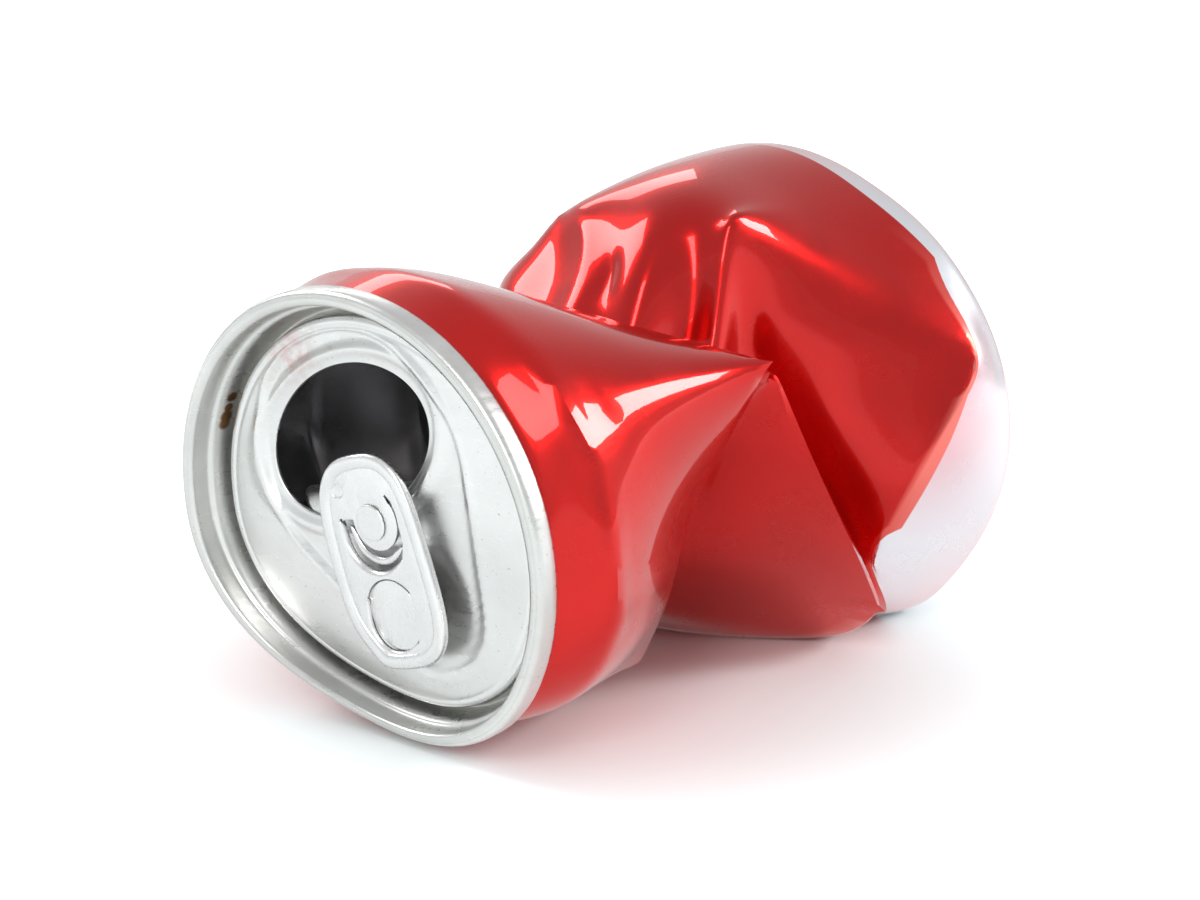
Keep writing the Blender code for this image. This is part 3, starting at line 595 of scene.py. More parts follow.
# the torn mouth panel
TEAR_LENGTH = 17.0
TEAR_ROWS = 24
TEAR_HALF = 12                # columns to each side of its middle
TEAR_WIDE = 9.0               # its half width where it is widest
TEAR_ACROSS = -6.5            # where along the mouth's lower edge it still hangs
TEAR_BEND = math.radians(118.0)
TEAR_BENT = TEAR_LENGTH / 3   # length of its bend, next to the hinge
TEAR_DROP = 0.9
TEAR_BOW = 0.3                # its rows bow out this far in their middle
TEAR_TIP = (0.6, 0.42)        # share of its length where its tip starts, and the tip's own
TEAR_TIP_LEAST = 0.05


def add_torn_panel(bm, mouth, edge):
    """The opened panel, still joined near the rivet and bent down into the can."""
    n = len(mouth)
    cx, cy = panel_xy(MOUTH_AT, 0.0)
    hx, hy = panel_xy(MOUTH_AT - MOUTH_HALF[0], TEAR_ACROSS)
    start = min(range(n), key=lambda i: (edge[i][0] - hx) ** 2 + (edge[i][1] - hy) ** 2)
    cols = [(start + k) % n for k in range(-TEAR_HALF, TEAR_HALF + 1)]
    a = Vector((*edge[cols[0]], 0.0))
    b = Vector((*edge[cols[-1]], 0.0))
    mid = (a + b) / 2
    across = (b - a).normalized()
    inward = Vector((cx, cy, 0.0)) - mid
    inward = (inward - across * inward.dot(across)).normalized()
    previous = [mouth[c] for c in cols]
    hold = (b - a).length / 2
    r = TEAR_BENT / TEAR_BEND
    tip_from, tip_length = TEAR_TIP
    for row in range(1, TEAR_ROWS + 1):
        t = row / TEAR_ROWS
        curved = min(TEAR_LENGTH * t, TEAR_BENT)
        straight = TEAR_LENGTH * t - curved
        flat = r * math.sin(curved / r) + straight * math.cos(TEAR_BEND)
        deep = r * (1 - math.cos(curved / r)) + straight * math.sin(TEAR_BEND)
        half = hold + (TEAR_WIDE - hold) * math.sin(math.pi * (t * 0.9 + 0.05)) ** 0.7
        if t > tip_from:
            half *= math.sqrt(max(TEAR_TIP_LEAST, 1 - ((t - tip_from) / tip_length) ** 2))
        current = []
        for k in range(len(cols)):
            s = 2 * k / (len(cols) - 1) - 1
            p = mid + inward * (flat + TEAR_BOW * (1 - s * s)) + across * (half * s)
            current.append(bm.verts.new(place(on_end(p.x, p.y, PANEL_DEPTH + TEAR_DROP + deep))))
        band(bm, previous, current, closed=False)
        previous = current


def end_matrix(x, y, depth, turn=0.0):
    """Local frame on the end: X across, Y up the end, Z out of the can."""
    at = place(on_end(x, y, depth))
    s, c = math.sin(turn), math.cos(turn)
    ex = SIDE * c + UP * s
    ey = UP * c - SIDE * s
    return Matrix(((ex.x, ey.x, OUT.x, at.x), (ex.y, ey.y, OUT.y, at.y),
                   (ex.z, ey.z, OUT.z, at.z), (0, 0, 0, 1)))


def lathe(name, profile, segments, matrix, material, body):
    """Turned piece from (radius, height) points in millimetres, closed at both ends."""
    bm = bmesh.new()
    rings = []
    for r, z in profile:
        rings.append([bm.verts.new(matrix @ Vector((r * MM * math.cos(2 * math.pi * i / segments),
                                                    r * MM * math.sin(2 * math.pi * i / segments),
                                                    z * MM))) for i in range(segments)])
    for a, b in zip(rings, rings[1:]):
        band(bm, a, b)
    bm.faces.new(list(reversed(rings[0])))
    bm.faces.new(rings[-1])
    bmesh.ops.recalc_face_normals(bm, faces=bm.faces)
    return finish(name, bm, material, body)


# ==== pull tab ================================================
# corners of its outline: x across, y towards the nose, with the rivet at 0, 0
TAB_NET = [(0, 7.8), (3.6, 7.5), (6.1, 5.4), (7.1, 2.2), (7.4, -2), (7.6, -8), (7.4, -11.8),
           (6.4, -14.6), (4.2, -16.3), (0.9, -16.7), (-2.9, -16.5), (-4.3, -15.6), (-6.7, -12.0),
           (-7.4, -9), (-7.6, -4), (-7.4, 0.6), (-6.6, 4.3), (-3.9, 7.2)]


def rounded(net, passes=3):
    """Closed outline through a net of corners, with the corners cut to curves."""
    pts = [np.array(p, float) for p in net]
    for _ in range(passes):
        cut = []
        for a, b in zip(pts, pts[1:] + pts[:1]):
            cut += [a * 0.75 + b * 0.25, a * 0.25 + b * 0.75]
        pts = cut
    return pts


def inset(outline, by):
    """The outline moved inwards by a distance."""
    out = []
    n = len(outline)
    for i in range(n):
        t = outline[(i + 1) % n] - outline[i - 1]
        t = t / np.linalg.norm(t)
        out.append(outline[i] + by * np.array([t[1], -t[0]]) * TAB_HAND)
    return out


def area(outline):
    """Area inside the outline, negative where it runs clockwise."""
    return 0.5 * sum(a[0] * b[1] - b[0] * a[1] for a, b in zip(outline, outline[1:] + outline[:1]))


TAB_LINE = [p + np.array([TAB_SHIFT, 0.0]) for p in rounded(TAB_NET)]
TAB_HAND = -1.0 if area(TAB_LINE) > 0 else 1.0
TAB_FRAME = end_matrix(RIVET[0], RIVET[1], PANEL_DEPTH - TAB_LIFT, TAB_TURN)


def slab(name, line, low, high, metal=None):
    """Flat plate with an outline, in the tab's own frame. A cutter has no metal."""
    bm = bmesh.new()
    a = [bm.verts.new((x * MM, y * MM, low * MM)) for x, y in line]
    b = [bm.verts.new((x * MM, y * MM, high * MM)) for x, y in line]
    band(bm, a, b)
    bm.faces.new(list(reversed(a)))
    bm.faces.new(b)
    bmesh.ops.recalc_face_normals(bm, faces=bm.faces)
    obj = loose(name, bm)
    if metal:
        obj.data.materials.append(metal)
        obj.data.shade_smooth()
    return obj


def disc_line(cx, cy, r, n=40):
    return [(cx + r * math.cos(2 * math.pi * i / n), cy + r * math.sin(2 * math.pi * i / n))
            for i in range(n)]


# sections of the tab: (inward, height)
RIM_SECTION = [(0.0, 0.5), (0.04, 0.8), (0.16, 1.02), (0.4, 1.15), (0.75, 1.2), (1.12, 1.17),
               (1.42, 1.06), (1.66, 0.92), (1.74, 0.74), (1.5, 0.4), (1.2, 0.16), (0.85, 0.03),
               (0.45, 0.02), (0.15, 0.14), (0.03, 0.3)]
WEB_LOW = 0.45
WEB_TOP = 0.88
WEB_IN = 1.25                        # the web starts this far inside the rim
WEB_SOFT = 0.1                       # round on its cut edges
STUD_ROOM = 0.25
NOSE_DISH = ((-4.0, 3.9), (1.0, 0.8, 0.22), 0.5)   # place, radii and turn
LIP_SHEET = 0.16
FLAP = ((0.5, 0.1), 3.3)             # round flap that holds the rivet: centre and radius
CRESCENT = ((-0.6, -1.4), 4.8)       # outer edge of the opening below it
FINGER = ((TAB_SHIFT, -10.5), 4.0)   # disc punched in the finger end
FINGER_FROM, FINGER_TO = 35, 312     # where its slit starts and ends, in degrees
FINGER_TIP = math.radians(3.6)       # how far the disc is pushed down
LIP_CURL = [(-0.12, WEB_TOP), (0.04, WEB_TOP - 0.01), (0.22, WEB_TOP - 0.06),
            (0.42, WEB_TOP - 0.2), (0.58, WEB_TOP - 0.42), (0.66, WEB_TOP - 0.68)]
FLAP_CURL = [(0.0, 0.0), (0.2, 0.16), (0.5, 0.18), (0.78, 0.04), (0.9, -0.2)]
FINGER_CURL = [(-0.1, WEB_TOP), (0.05, WEB_TOP - 0.02), (0.18, WEB_TOP - 0.1),
               (0.28, WEB_TOP - 0.26), (0.3, WEB_TOP - 0.5)]
CUT_PAST = (-1, 2)                   # cutters reach past the web, below and above


def arc(centre, radius, start, end, n=36):
    """Points along an arc, in degrees; the radius may follow the turn."""
    pts = []
    for i in range(n + 1):
        t = start + (end - start) * i / n
        r = radius(t) if callable(radius) else radius
        t = math.radians(t)
        pts.append((centre[0] + r * math.cos(t), centre[1] + r * math.sin(t)))
    return pts


def crescent_line():
    """Opening between the flap and the web, closed to a fine slit up the right side."""
    (fx, fy), r = FLAP
    outer = arc(*CRESCENT, 152, 322)
    tail = [(3.9, -2.6), (3.92, -1.2), (3.98, 0.2), (3.98, 1.0), (3.72, 2.0), (3.15, 2.85),
            (2.86, 2.72), (3.18, 1.9)]
    inner = arc((fx, fy), r, 28, -188, 44)
    return outer + tail + inner


def finger_edge(turn):
    """Edge of the finger hole: it opens wider at the lower left."""
    lean = (turn - 232.0) / 42.0
    return FINGER[1] + 0.14 + 0.5 * math.exp(-lean * lean)


# strips that follow a line, such as the rolled rim and the curled lips
LIP_FADE = 0.12                      # share of a lip's length in which each end narrows
LIP_END = 0.25                       # width left at its ends


def strip_tree():
    """Node tree that carries a section along a path. The strip is End Width wide at both ends
    of the path and grows to its full width within Fade of the path's points."""
    tree = bpy.data.node_groups.new("strip_along_path", "GeometryNodeTree")
    for label, kind in (("Path", "Object"), ("Section", "Object"), ("End Width", "Float"),
                        ("Fade", "Float"), ("Metal", "Material")):
        tree.interface.new_socket(label, in_out="INPUT", socket_type="NodeSocket" + kind)
    tree.interface.new_socket("Geometry", in_out="OUTPUT", socket_type="NodeSocketGeometry")

    def add(kind, inputs=(), **settings):
        return add_node(tree, kind, inputs, **settings)

    def math_node(how, a, b):
        return add("ShaderNodeMath", {0: a, 1: b}, operation=how).outputs[0]

    def capture(geometry, kind, field):
        node = add("GeometryNodeCaptureAttribute", {"Geometry": geometry})
        node.capture_items.new(kind, "kept")
        tree.links.new(field, node.inputs["kept"])
        return node.outputs["Geometry"], node.outputs["kept"]

    given = add("NodeGroupInput").outputs
    path, section = (add("GeometryNodeObjectInfo", {"Object": given[name]}).outputs["Geometry"]
                     for name in ("Path", "Section"))

    # width at each point of the path
    point = add("GeometryNodeSplineParameter").outputs["Index"]
    count = add("GeometryNodeSplineLength").outputs["Point Count"]
    to_end = math_node("SUBTRACT", math_node("SUBTRACT", count, point), 1.0)
    faded = math_node("DIVIDE", math_node("MINIMUM", point, to_end),
                      math_node("MULTIPLY", count, given["Fade"]))
    grown = math_node("POWER", math_node("MINIMUM", faded, 1.0), 0.5)
    width = add("ShaderNodeMapRange", {"Value": grown, "To Min": given["End Width"]}).outputs[0]
    path, width = capture(path, "FLOAT", width)

    # the way to the right of the path, and how far each point of the section lies that way
    tangent = add("GeometryNodeInputTangent").outputs["Tangent"]
    right = add("ShaderNodeVectorMath", {0: tangent, 1: (0.0, 0.0, 1.0)},
                operation="CROSS_PRODUCT").outputs["Vector"]
    path, right = capture(path, "VECTOR", right)
    position = add("GeometryNodeInputPosition").outputs["Position"]
    across = add("ShaderNodeSeparateXYZ", {0: position}).outputs["X"]
    section, across = capture(section, "FLOAT", across)

    path = add("GeometryNodeSetCurveNormal", {"Curve": path}, mode="Z_UP").outputs["Curve"]
    strip = add("GeometryNodeCurveToMesh", {"Curve": path, "Profile Curve": section}).outputs[0]
    less = math_node("MULTIPLY", across, math_node("SUBTRACT", width, 1.0))
    offset = add("ShaderNodeVectorMath", {0: right, "Scale": less}, operation="SCALE").outputs[0]
    strip = add("GeometryNodeSetPosition", {"Geometry": strip, "Offset": offset}).outputs[0]
    strip = add("GeometryNodeRealizeInstances", {"Geometry": strip}).outputs[0]
    strip = add("GeometryNodeSetMaterial", {"Geometry": strip, "Material": given["Metal"]})
    add("NodeGroupOutput", {"Geometry": strip.outputs[0]})
    return tree


STRIP_TREE = strip_tree()


def guide(name, points, closed):
    """Curve through points in millimetres, for the node tree to read."""
    data = bpy.data.curves.new(name, "CURVE")
    data.dimensions = "3D"
    spline = data.splines.new("POLY")
    spline.points.add(len(points) - 1)
    for point, (x, y) in zip(spline.points, points):
        point.co = (x, y, 0.0, 1.0)
    spline.use_cyclic_u = closed
    obj = bpy.data.objects.new(name, data)
    bpy.context.scene.collection.objects.link(obj)
    return obj


def strip_on_tab(name, line, section, closed, metal):
    """Mesh of a section (inward, height) carried along a line on the tab, the inward side left
    of the line. The tree lays a section's X to the right and its Y down, so it goes in turned."""
    path = guide("path", line, closed)
    profile = guide("section", [(-w, -z) for w, z in section], closed)
    values = {"Path": path, "Section": profile, "End Width": 1.0 if closed else LIP_END,
              "Fade": LIP_FADE, "Metal": metal}
    obj = loose(name, bmesh.new())
    nodes = obj.modifiers.new("strip", "NODES")
    nodes.node_group = STRIP_TREE
    for socket in STRIP_TREE.interface.items_tree:
        if socket.in_out == "INPUT":
            nodes[socket.identifier] = values[socket.name]
    plain(obj)
    for used in (path, profile):
        bpy.data.curves.remove(used.data, do_unlink=True)
    obj.data.transform(TAB_FRAME @ Matrix.Scale(MM, 4))
    bm = bmesh.new()
    bm.from_mesh(obj.data)
    bmesh.ops.recalc_face_normals(bm, faces=bm.faces)
    toward = TAB_FRAME.to_3x3() @ Vector((0, 0, 1))
    if not closed and sum(f.normal.dot(toward) * f.calc_area() for f in bm.faces) < 0:
        bmesh.ops.reverse_faces(bm, faces=bm.faces)
    bm.to_mesh(obj.data)
    bm.free()
    obj.data.shade_smooth()
    return obj


def curled_lip(name, line, section, metal):
    """Thin strip along an open line, narrower at both ends."""
    obj = strip_on_tab(name, line, section, False, metal)
    thick = obj.modifiers.new("thick", "SOLIDIFY")
    thick.thickness = LIP_SHEET * MM
    thick.offset = -1.0
    plain(obj)
    tab_piece(obj)


def tab_piece(obj):
    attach(obj, "tab")
    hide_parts("pull_tab")


def dish(name, place_on_tab, radii, turn):
    """Ellipsoid that presses a shallow dish into the web."""
    x, y = place_on_tab
    bm = bmesh.new()
    bmesh.ops.create_uvsphere(bm, u_segments=32, v_segments=16, radius=1.0)
    shape = Matrix.Translation(Vector((x, y, WEB_TOP)) * MM) @ Matrix.Rotation(turn, 4, "Z")
    bmesh.ops.transform(bm, matrix=shape @ Matrix.Diagonal((*[r * MM for r in radii], 1.0)),
                        verts=bm.verts)
    return loose(name, bm)


def cut_plate(plate, cutters):
    """Cuts the plate in its own frame, rounds its edges, then puts it in place on the can."""
    for cutter in cutters:
        m = plate.modifiers.new(cutter.name, "BOOLEAN")
        m.operation = "DIFFERENCE"
        m.solver = "EXACT"
        m.object = cutter
    edges = plate.modifiers.new("edges", "BEVEL")
    edges.width = WEB_SOFT * MM
    edges.segments = 3
    edges.limit_method = "ANGLE"
    edges.angle_limit = math.radians(40)
    plain(plate)
    for cutter in cutters:
        bpy.data.objects.remove(cutter, do_unlink=True)
    plate.data.transform(TAB_FRAME)
    plate.data.set_sharp_from_angle(angle=math.radians(50))


def build_tab(metal):
    """Rolled rim, web with its openings, the pushed finger disc, and the curled lips."""
    tab_piece(strip_on_tab("tab_rim", TAB_LINE[::-1], RIM_SECTION, True, metal))
    web = slab("tab_web", inset(TAB_LINE, WEB_IN), WEB_LOW, WEB_TOP, metal)
    hole = arc(FINGER[0], finger_edge, FINGER_FROM, FINGER_TO, 72)
    cut_plate(web, [slab("stud_hole", disc_line(0, 0, STUD_R + STUD_ROOM), *CUT_PAST),
                    slab("crescent", crescent_line(), *CUT_PAST),
                    slab("finger_hole", hole, *CUT_PAST),
                    dish("nose_dish", *NOSE_DISH)])
    tab_piece(web)

    (cx, cy), r = FINGER
    chord = r * math.cos(math.radians(0.5 * (360 - FINGER_TO + FINGER_FROM)))
    disc = slab("finger_disc", arc(FINGER[0], r, FINGER_FROM - 4, FINGER_TO + 4, 72),
                WEB_LOW, WEB_TOP - 0.01, metal)
    hinge = Vector((cx + chord, cy, WEB_TOP)) * MM
    disc.data.transform(Matrix.Translation(hinge) @ Matrix.Rotation(-FINGER_TIP, 4, "Y")
                        @ Matrix.Rotation(FINGER_TIP * 0.45, 4, "X")
                        @ Matrix.Translation(-hinge))
    cut_plate(disc, [])
    tab_piece(disc)

    curled_lip("crescent_lip", arc(*CRESCENT, 156, 320, 48), LIP_CURL, metal)
    curled_lip("flap_strip", arc((-0.4, -0.9), 4.1, 170, 325, 48), FLAP_CURL, metal)
    curled_lip("finger_lip", arc(FINGER[0], finger_edge, 150, 306, 48), FINGER_CURL, metal)


# ==== materials ===============================================
class Nodes:
    """Short hand for wiring a node material."""

    def __init__(self, name):
        self.material = bpy.data.materials.new(name)
        self.material.use_nodes = True
        self.tree = self.material.node_tree
        self.shader = self.tree.nodes["Principled BSDF"]
        self.coord = self.tree.nodes.new("ShaderNodeTexCoord").outputs["Object"]

    def add(self, kind, inputs=(), **settings):
        return add_node(self.tree, kind, inputs, **settings)

    def noise(self, scale, detail=3.0, rough=0.5, stretch=None):
        where = self.coord
        if stretch:
            where = self.add("ShaderNodeMapping", {"Vector": where, "Scale": stretch}).outputs[0]
        node = self.add("ShaderNodeTexNoise", {"Vector": where, "Scale": scale, "Detail": detail,
                                               "Roughness": rough})
        return node.outputs["Fac"]

    def ramp(self, fac, low, high, to_low=0.0, to_high=1.0):
        node = self.add("ShaderNodeMapRange", {"Value": fac, "From Min": low, "From Max": high,
                                               "To Min": to_low, "To Max": to_high})
        return node.outputs["Result"]

    def math(self, how, a, b=0.0, c=0.0):
        return self.add("ShaderNodeMath", {0: a, 1: b, 2: c}, operation=how).outputs[0]

    def mix(self, fac, a, b):
        node = self.add("ShaderNodeMix", data_type="RGBA")
        for key, value in ((0, fac), (6, a), (7, b)):
            if isinstance(value, bpy.types.NodeSocket):
                self.tree.links.new(value, node.inputs[key])
            else:
                node.inputs[key].default_value = value if key == 0 else (*value, 1.0)
        return node.outputs[2]

    def near(self, point, reach):
        """1 at a point of the can, fading to 0 at a distance in metres."""
        gap = self.add("ShaderNodeVectorMath", {0: self.coord, 1: tuple(place(point))},
                       operation="DISTANCE").outputs["Value"]
        return self.ramp(gap, 0.25 * reach, reach, 1.0, 0.0)

    def attribute(self, name):
        return self.add("ShaderNodeAttribute", attribute_name=name).outputs["Fac"]

    def bump(self, height, strength, distance, under=None):
        ins = {"Height": height, "Strength": strength, "Distance": distance}
        if under is not None:
            ins["Normal"] = under
        return self.add("ShaderNodeBump", ins).outputs["Normal"]

    def set(self, **inputs):
        for key, value in inputs.items():
            socket = self.shader.inputs[key.replace("_", " ")]
            if isinstance(value, bpy.types.NodeSocket):
                self.tree.links.new(value, socket)
            elif isinstance(value, tuple) and len(value) == 3:
                socket.default_value = (*value, 1.0)
            else:
                socket.default_value = value
        return self.material


RED_DEEP = (0.47, 0.004, 0.003)
RED_BRIGHT = (0.60, 0.008, 0.006)
FOLD_HIGHLIGHT = (0.80, 0.16, 0.13)          # painted highlight along the fold, a lighter pink-red
BARE = (0.76, 0.78, 0.82)            # wall past the print
PINK_REFLECTION = (0.74, 0.46, 0.50)           # painted pink reflection of the red fold on the bare metal next to it
BASE_TURN_SHADE = (0.60, 0.63, 0.68)       # painted shade where the wall turns in to the base
RED_EDGE = (1.0, 0.55, 0.52)         # colour of the lacquer's shine at a glancing angle
FOLD_HIGHLIGHT_SPOT = ((31.5, 68.5, 29.0), 0.026)
PINK_REFLECTION_SPOT = ((32.5, 70.5, 29.0), 0.017)
BASE_TURN_SHADE_Y = (0.0365, 0.0415)

INSIDE_DARK = (0.74, 0.73, 0.75)
INSIDE_LIGHT = (0.84, 0.82, 0.83)
INSIDE_STAIN = (0.55, 0.42, 0.34)

END_DULL = (0.68, 0.68, 0.67)
END_BRIGHT = (0.79, 0.79, 0.78)
# grey painted as shade into the groove, the seam and the rim
PAINTED_SHADE_GREY = (0.54, 0.535, 0.505)
DRIED = (0.58, 0.44, 0.34)           # dried drink above the mouth
RED_TRACE = (0.62, 0.30, 0.30)       # rubbed-off lacquer on the panel
DROP = (0.30, 0.16, 0.08)
SPECK = (0.35, 0.30, 0.26)
DRIED_SPOT = (on_end(-6.0, 14.5, PANEL_DEPTH), 0.0115)
TRACE_SPOT = (on_end(-11.0, 17.7, PANEL_DEPTH), 0.0042)
# dried drops in the end's groove: middle, and reach in metres
DROPS = [((-21.5, 3.2, 35.8), 0.0008), ((-22.1, 3.2, 34.5), 0.0007),
         ((-22.6, 3.2, 33.4), 0.0010), ((-22.95, 3.2, 32.5), 0.0009)]

TAB_DULL = (0.71, 0.705, 0.70)
TAB_BRIGHT = (0.81, 0.805, 0.80)
TAB_SPECK = (0.4, 0.36, 0.33)

COMPOUND_DARK = (0.05, 0.05, 0.05)
COMPOUND_LIGHT = (0.09, 0.09, 0.08)


def red_lacquer():
    """Clear-coated red print on the wall, which ends along the rear fold and the base, with a
    painted highlight along the fold, a painted pink reflection on the bare metal beside it and
    painted shade where the wall turns in to the base.
    """
    n = Nodes("red_lacquer")
    red = n.mix(n.ramp(n.noise(28.0, 3.0), 0.35, 0.65), RED_DEEP, RED_BRIGHT)
    past = n.attribute("past_print")
    bare = n.ramp(past, -0.012, 0.012)
    # pink painted on the bare metal beside the fold, as its reflection of the red lacquer
    pink_reflection = n.math("MULTIPLY", n.ramp(past, 0.1, 2.0, 1.0, 0.0), n.near(*PINK_REFLECTION_SPOT))
    metal = n.mix(pink_reflection, BARE, PINK_REFLECTION)
    along_can = n.add("ShaderNodeSeparateXYZ", {0: n.coord}).outputs["Y"]
    # bare metal painted darker where the wall turns in to the base, as shade
    metal = n.mix(n.ramp(along_can, *BASE_TURN_SHADE_Y), metal, BASE_TURN_SHADE)
    # lighter pink-red painted along the fold just before the print ends, as its highlight
    fold_highlight = n.math("MULTIPLY", n.ramp(past, -0.34, -0.22), n.near(*FOLD_HIGHLIGHT_SPOT))
    colour = n.mix(bare, n.mix(fold_highlight, red, FOLD_HIGHLIGHT), metal)
    rough = n.ramp(n.noise(160.0, 4.0), 0.3, 0.7, 0.2, 0.3)
    normal = n.bump(n.noise(70.0, 2.0), 0.12, 0.0005)
    drawn = n.noise(300.0, 3.0, 0.6, stretch=(1.0, 14.0, 1.0))
    normal = n.bump(drawn, 0.05, 0.0001, normal)
    normal = n.bump(n.noise(1500.0, 2.0), 0.03, 0.00005, normal)
    return n.set(Base_Color=colour, Metallic=0.92, Roughness=rough, Normal=normal,
                 Coat_Weight=1.0, Coat_Roughness=0.03, Coat_IOR=1.33, Specular_Tint=RED_EDGE)


def inside_lacquer():
    """Clear lacquer on the inner faces, with a few dried stains."""
    n = Nodes("inside_lacquer")
    tone = n.mix(n.ramp(n.noise(90.0, 4.0), 0.35, 0.65), INSIDE_DARK, INSIDE_LIGHT)
    tone = n.mix(n.ramp(n.noise(45.0, 3.0), 0.58, 0.7), tone, INSIDE_STAIN)
    rough = n.ramp(n.noise(200.0, 3.0), 0.3, 0.7, 0.15, 0.24)
    return n.set(Base_Color=tone, Metallic=0.85, Roughness=rough,
                 Normal=n.bump(n.noise(500.0, 3.0), 0.08, 0.0001))


def bare_aluminium():
    """Metal of the end: faint drawing lines, painted shade in the grooves, seam and rim, dried
    drink, drops and specks.
    """
    n = Nodes("bare_aluminium")
    tone = n.mix(n.ramp(n.noise(60.0, 4.0), 0.3, 0.7), END_DULL, END_BRIGHT)
    uneven = n.ramp(n.noise(260.0, 4.0), 0.25, 0.6, 0.55, 1.0)
    # grey painted into the groove, the seam's inner wall and fine line and the rim as shade,
    # broken up by noise
    tone = n.mix(n.math("MULTIPLY", n.attribute("painted_shade"), uneven), tone, PAINTED_SHADE_GREY)
    fleck = n.ramp(n.noise(420.0, 5.0, 0.7), 0.55, 0.68, 0.0, 0.6)
    tone = n.mix(n.math("MULTIPLY", fleck, n.near(*DRIED_SPOT)), tone, DRIED)
    smear = n.ramp(n.noise(500.0, 4.0), 0.4, 0.62, 0.0, 0.7)
    tone = n.mix(n.math("MULTIPLY", n.near(*TRACE_SPOT), smear), tone, RED_TRACE)
    for spot in DROPS:
        tone = n.mix(n.ramp(n.near(*spot), 0.0, 0.5), tone, DROP)
    tone = n.mix(n.ramp(n.noise(1900.0, 2.0, 0.6), 0.69, 0.75, 0.0, 0.6), tone, SPECK)
    rough = n.noise(300.0, 5.0, 0.6, stretch=(1.0, 1.0, 6.0))
    normal = n.bump(n.noise(500.0, 4.0, 0.7, stretch=(1.0, 1.0, 12.0)), 0.08, 0.00006)
    normal = n.bump(n.noise(120.0, 3.0), 0.06, 0.0003, normal)
    return n.set(Base_Color=tone, Metallic=1.0, Normal=normal,
                 Roughness=n.ramp(rough, 0.3, 0.7, 0.24, 0.40))


def tab_aluminium():
    """Brighter metal of the tab, with lines across it."""
    n = Nodes("tab_aluminium")
    tone = n.mix(n.ramp(n.noise(120.0, 4.0), 0.3, 0.7), TAB_DULL, TAB_BRIGHT)
    tone = n.mix(n.ramp(n.noise(2300.0, 2.0), 0.72, 0.78, 0.0, 0.5), tone, TAB_SPECK)
    rough = n.noise(400.0, 4.0, 0.6, stretch=(5.0, 1.0, 1.0))
    normal = n.bump(n.noise(600.0, 4.0, 0.7, stretch=(10.0, 1.0, 1.0)), 0.05, 0.00006)
    return n.set(Base_Color=tone, Metallic=1.0, Normal=normal,
                 Roughness=n.ramp(rough, 0.3, 0.7, 0.22, 0.36))


def seam_compound():
    n = Nodes("seam_compound")
    tone = n.mix(n.noise(800.0, 3.0), COMPOUND_DARK, COMPOUND_LIGHT)
    return n.set(Base_Color=tone, Roughness=0.85,
                 Normal=n.bump(n.noise(1500.0, 3.0), 0.2, 0.0001))


PAPER = (0.825, 0.86, 0.862)
PAPER_GLOW = (0.0, 1.0)              # lift under the can and away from it
PAPER_REACH = (0.03, 0.11)           # where the lift starts and ends, from the can's middle
PAPER_SHEEN = 0.1                    # what shiny metal sees of the paper beyond its own light


def studio_paper():
    """Pale paper that looks evenly white straight on, away from the can."""
    n = Nodes("studio_paper")
    n.set(Base_Color=PAPER, Roughness=0.9)
    out = n.tree.nodes["Material Output"]
    path = n.add("ShaderNodeLightPath")
    away = n.add("ShaderNodeVectorMath", {0: n.coord}, operation="LENGTH").outputs["Value"]
    lift = n.add("ShaderNodeMapRange", {"Value": away, "From Min": PAPER_REACH[0],
                                        "From Max": PAPER_REACH[1], "To Min": PAPER_GLOW[0],
                                        "To Max": PAPER_GLOW[1]},
                 interpolation_type="SMOOTHSTEP").outputs["Result"]
    seen = n.math("MULTIPLY", path.outputs["Is Camera Ray"], lift)
    strength = n.math("MULTIPLY_ADD", path.outputs["Is Glossy Ray"], PAPER_SHEEN, seen)
    glow = n.add("ShaderNodeEmission", {"Color": (1, 1, 1, 1), "Strength": strength})
    both = n.add("ShaderNodeAddShader", {0: n.shader.outputs[0], 1: glow.outputs[0]})
    n.tree.links.new(both.outputs[0], out.inputs["Surface"])
    return n.material


# ==== putting it together =====================================
# (radius, height) of the rivet above the panel
RIVET_PROFILE = [(STUD_R, -0.2), (STUD_R, 1.95), (1.9, 1.97), (2.02, 2.02), (2.06, 2.1),
                 (2.02, 2.18), (1.92, 2.23), (1.78, 2.25), (1.5, 2.24), (0.7, 2.22)]
RIVET_FRAME = end_matrix(*RIVET, PANEL_DEPTH + RECESS_DEEP - RIVET_RISE[0])

dark_inside = inside_lacquer()
aluminium = bare_aluminium()
build_wall(red_lacquer(), dark_inside)
build_end_sheet(aluminium, dark_inside)
rivet = lathe("rivet_head", RIVET_PROFILE, 64, RIVET_FRAME, aluminium, "can")
build_tab(tab_aluminium())
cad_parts["seam_seal"].material_slots[0].material = seam_compound()


# ==== camera, floor, light ====================================
VIEW_TURN = math.radians(39.73)
VIEW_DROP = math.radians(13.0)
VIEW_FROM = (192.5, -189.8, 95.5)    # in working millimetres
LENS = 78.0
# floor from the middle to the top of its low wall: (radius, height)
SWEEP = [(0.3, 0.0), (0.6, 0.0), (1.0, 0.0), (1.12, 0.012), (1.22, 0.05), (1.28, 0.12),
         (1.3, 0.34)]
SWEEP_STEPS = 96
LAMP_AIM = Vector((0.0, 0.0, 0.025))
LAMP_AWAY = 0.8
# name, bearing (0 is in front of the drinking end, 90 to its right), height, size, brightness
LAMPS = [("right_softbox", 129, 25, (0.20, 0.26), 24.0),
         ("front_softbox", 25, 27, (0.21, 0.46), 7.2),
         ("left_softbox", -76, 38, (0.30, 0.34), 8.0),
         ("back_softbox", -127, 31, (0.34, 0.13), 2.6)]
ROOM = (0.72, 0.73, 0.74, 1.0)
BACKDROP = (1.0, 1.0, 1.0, 1.0)


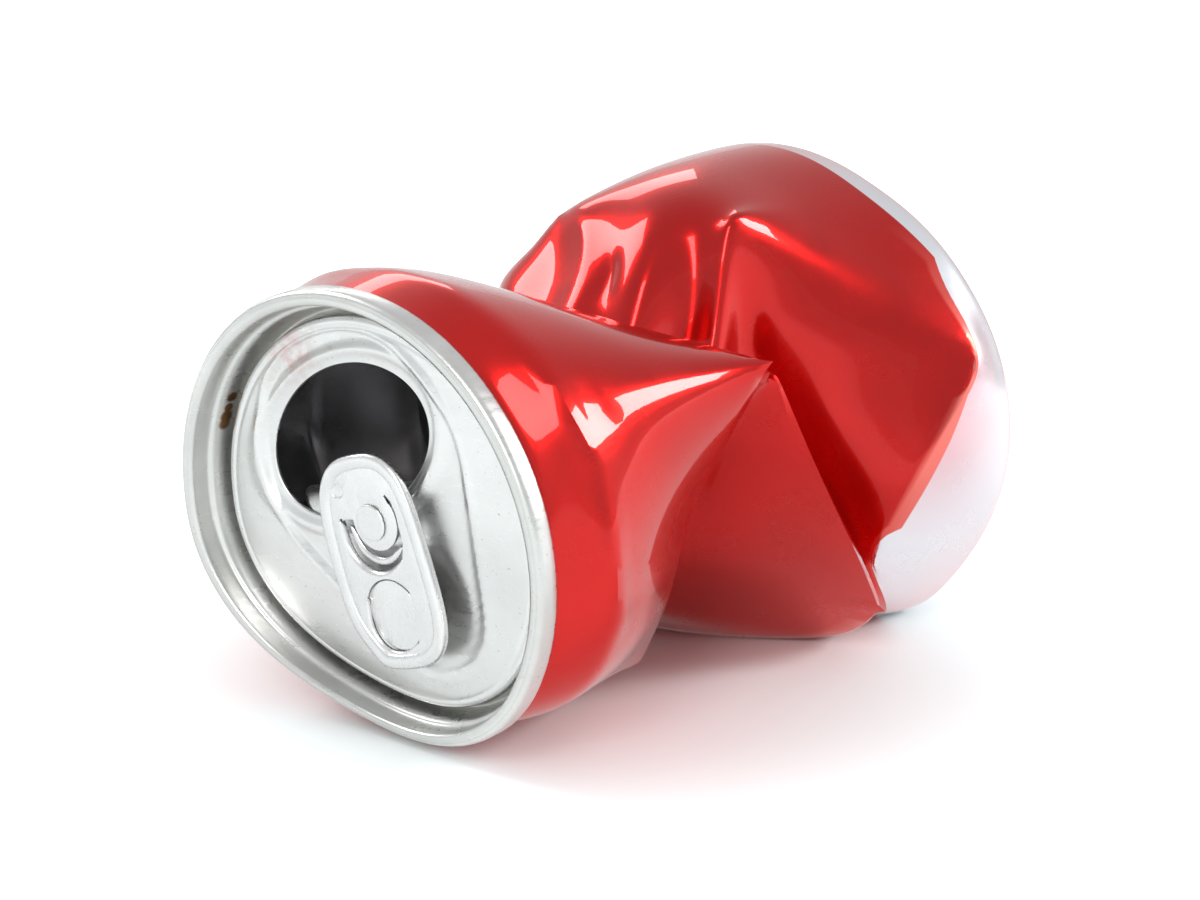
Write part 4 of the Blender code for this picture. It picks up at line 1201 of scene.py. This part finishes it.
def studio_camera():
    data = bpy.data.cameras.new("camera")
    data.sensor_width = 36.0
    data.lens = LENS
    data.clip_end = 20.0
    camera = bpy.data.objects.new("camera", data)
    camera.location = place(VIEW_FROM)
    camera.rotation_euler = (math.pi / 2 - VIEW_DROP, 0.0, VIEW_TURN)
    bpy.context.scene.collection.objects.link(camera)
    bpy.context.scene.camera = camera


def studio_sweep():
    """Round floor that turns up into a low wall."""
    bm = bmesh.new()
    turns = [2 * math.pi * k / SWEEP_STEPS for k in range(SWEEP_STEPS)]
    rows = [[bm.verts.new((r * math.cos(t), r * math.sin(t), z)) for t in turns]
            for r, z in SWEEP]
    middle = bm.verts.new((0, 0, 0))
    for k in range(SWEEP_STEPS):
        bm.faces.new((middle, rows[0][k], rows[0][(k + 1) % SWEEP_STEPS]))
    for a, b in zip(rows, rows[1:]):
        band(bm, a, b)
    floor = loose("floor", bm)
    floor.data.shade_smooth()
    floor.data.materials.append(studio_paper())


def softbox(name, bearing, height, size, bright):
    """Soft rectangular light turned to the can."""
    data = bpy.data.lights.new(name, "AREA")
    data.shape = "RECTANGLE"
    data.size, data.size_y = size
    data.energy = bright * math.pi * size[0] * size[1]
    lamp = bpy.data.objects.new(name, data)
    t, h = math.radians(bearing), math.radians(height)
    away = Vector((math.sin(t) * math.cos(h), -math.cos(t) * math.cos(h), math.sin(h)))
    lamp.location = LAMP_AIM + away * LAMP_AWAY
    lamp.rotation_euler = away.to_track_quat("Z", "Y").to_euler()
    bpy.context.scene.collection.objects.link(lamp)


def studio_room():
    """Even soft light all round, and a white backdrop for the camera."""
    world = bpy.data.worlds.new("studio")
    bpy.context.scene.world = world
    world.use_nodes = True
    tree = world.node_tree
    background = tree.nodes["Background"]
    seen = add_node(tree, "ShaderNodeLightPath").outputs["Is Camera Ray"]
    colour = add_node(tree, "ShaderNodeMix", {0: seen, 6: ROOM, 7: BACKDROP}, data_type="RGBA")
    tree.links.new(colour.outputs[2], background.inputs["Color"])
    background.inputs["Strength"].default_value = 1.0


studio_camera()
studio_sweep()
for lamp in LAMPS:
    softbox(*lamp)
studio_room()
bpy.context.scene.view_settings.view_transform = "Standard"
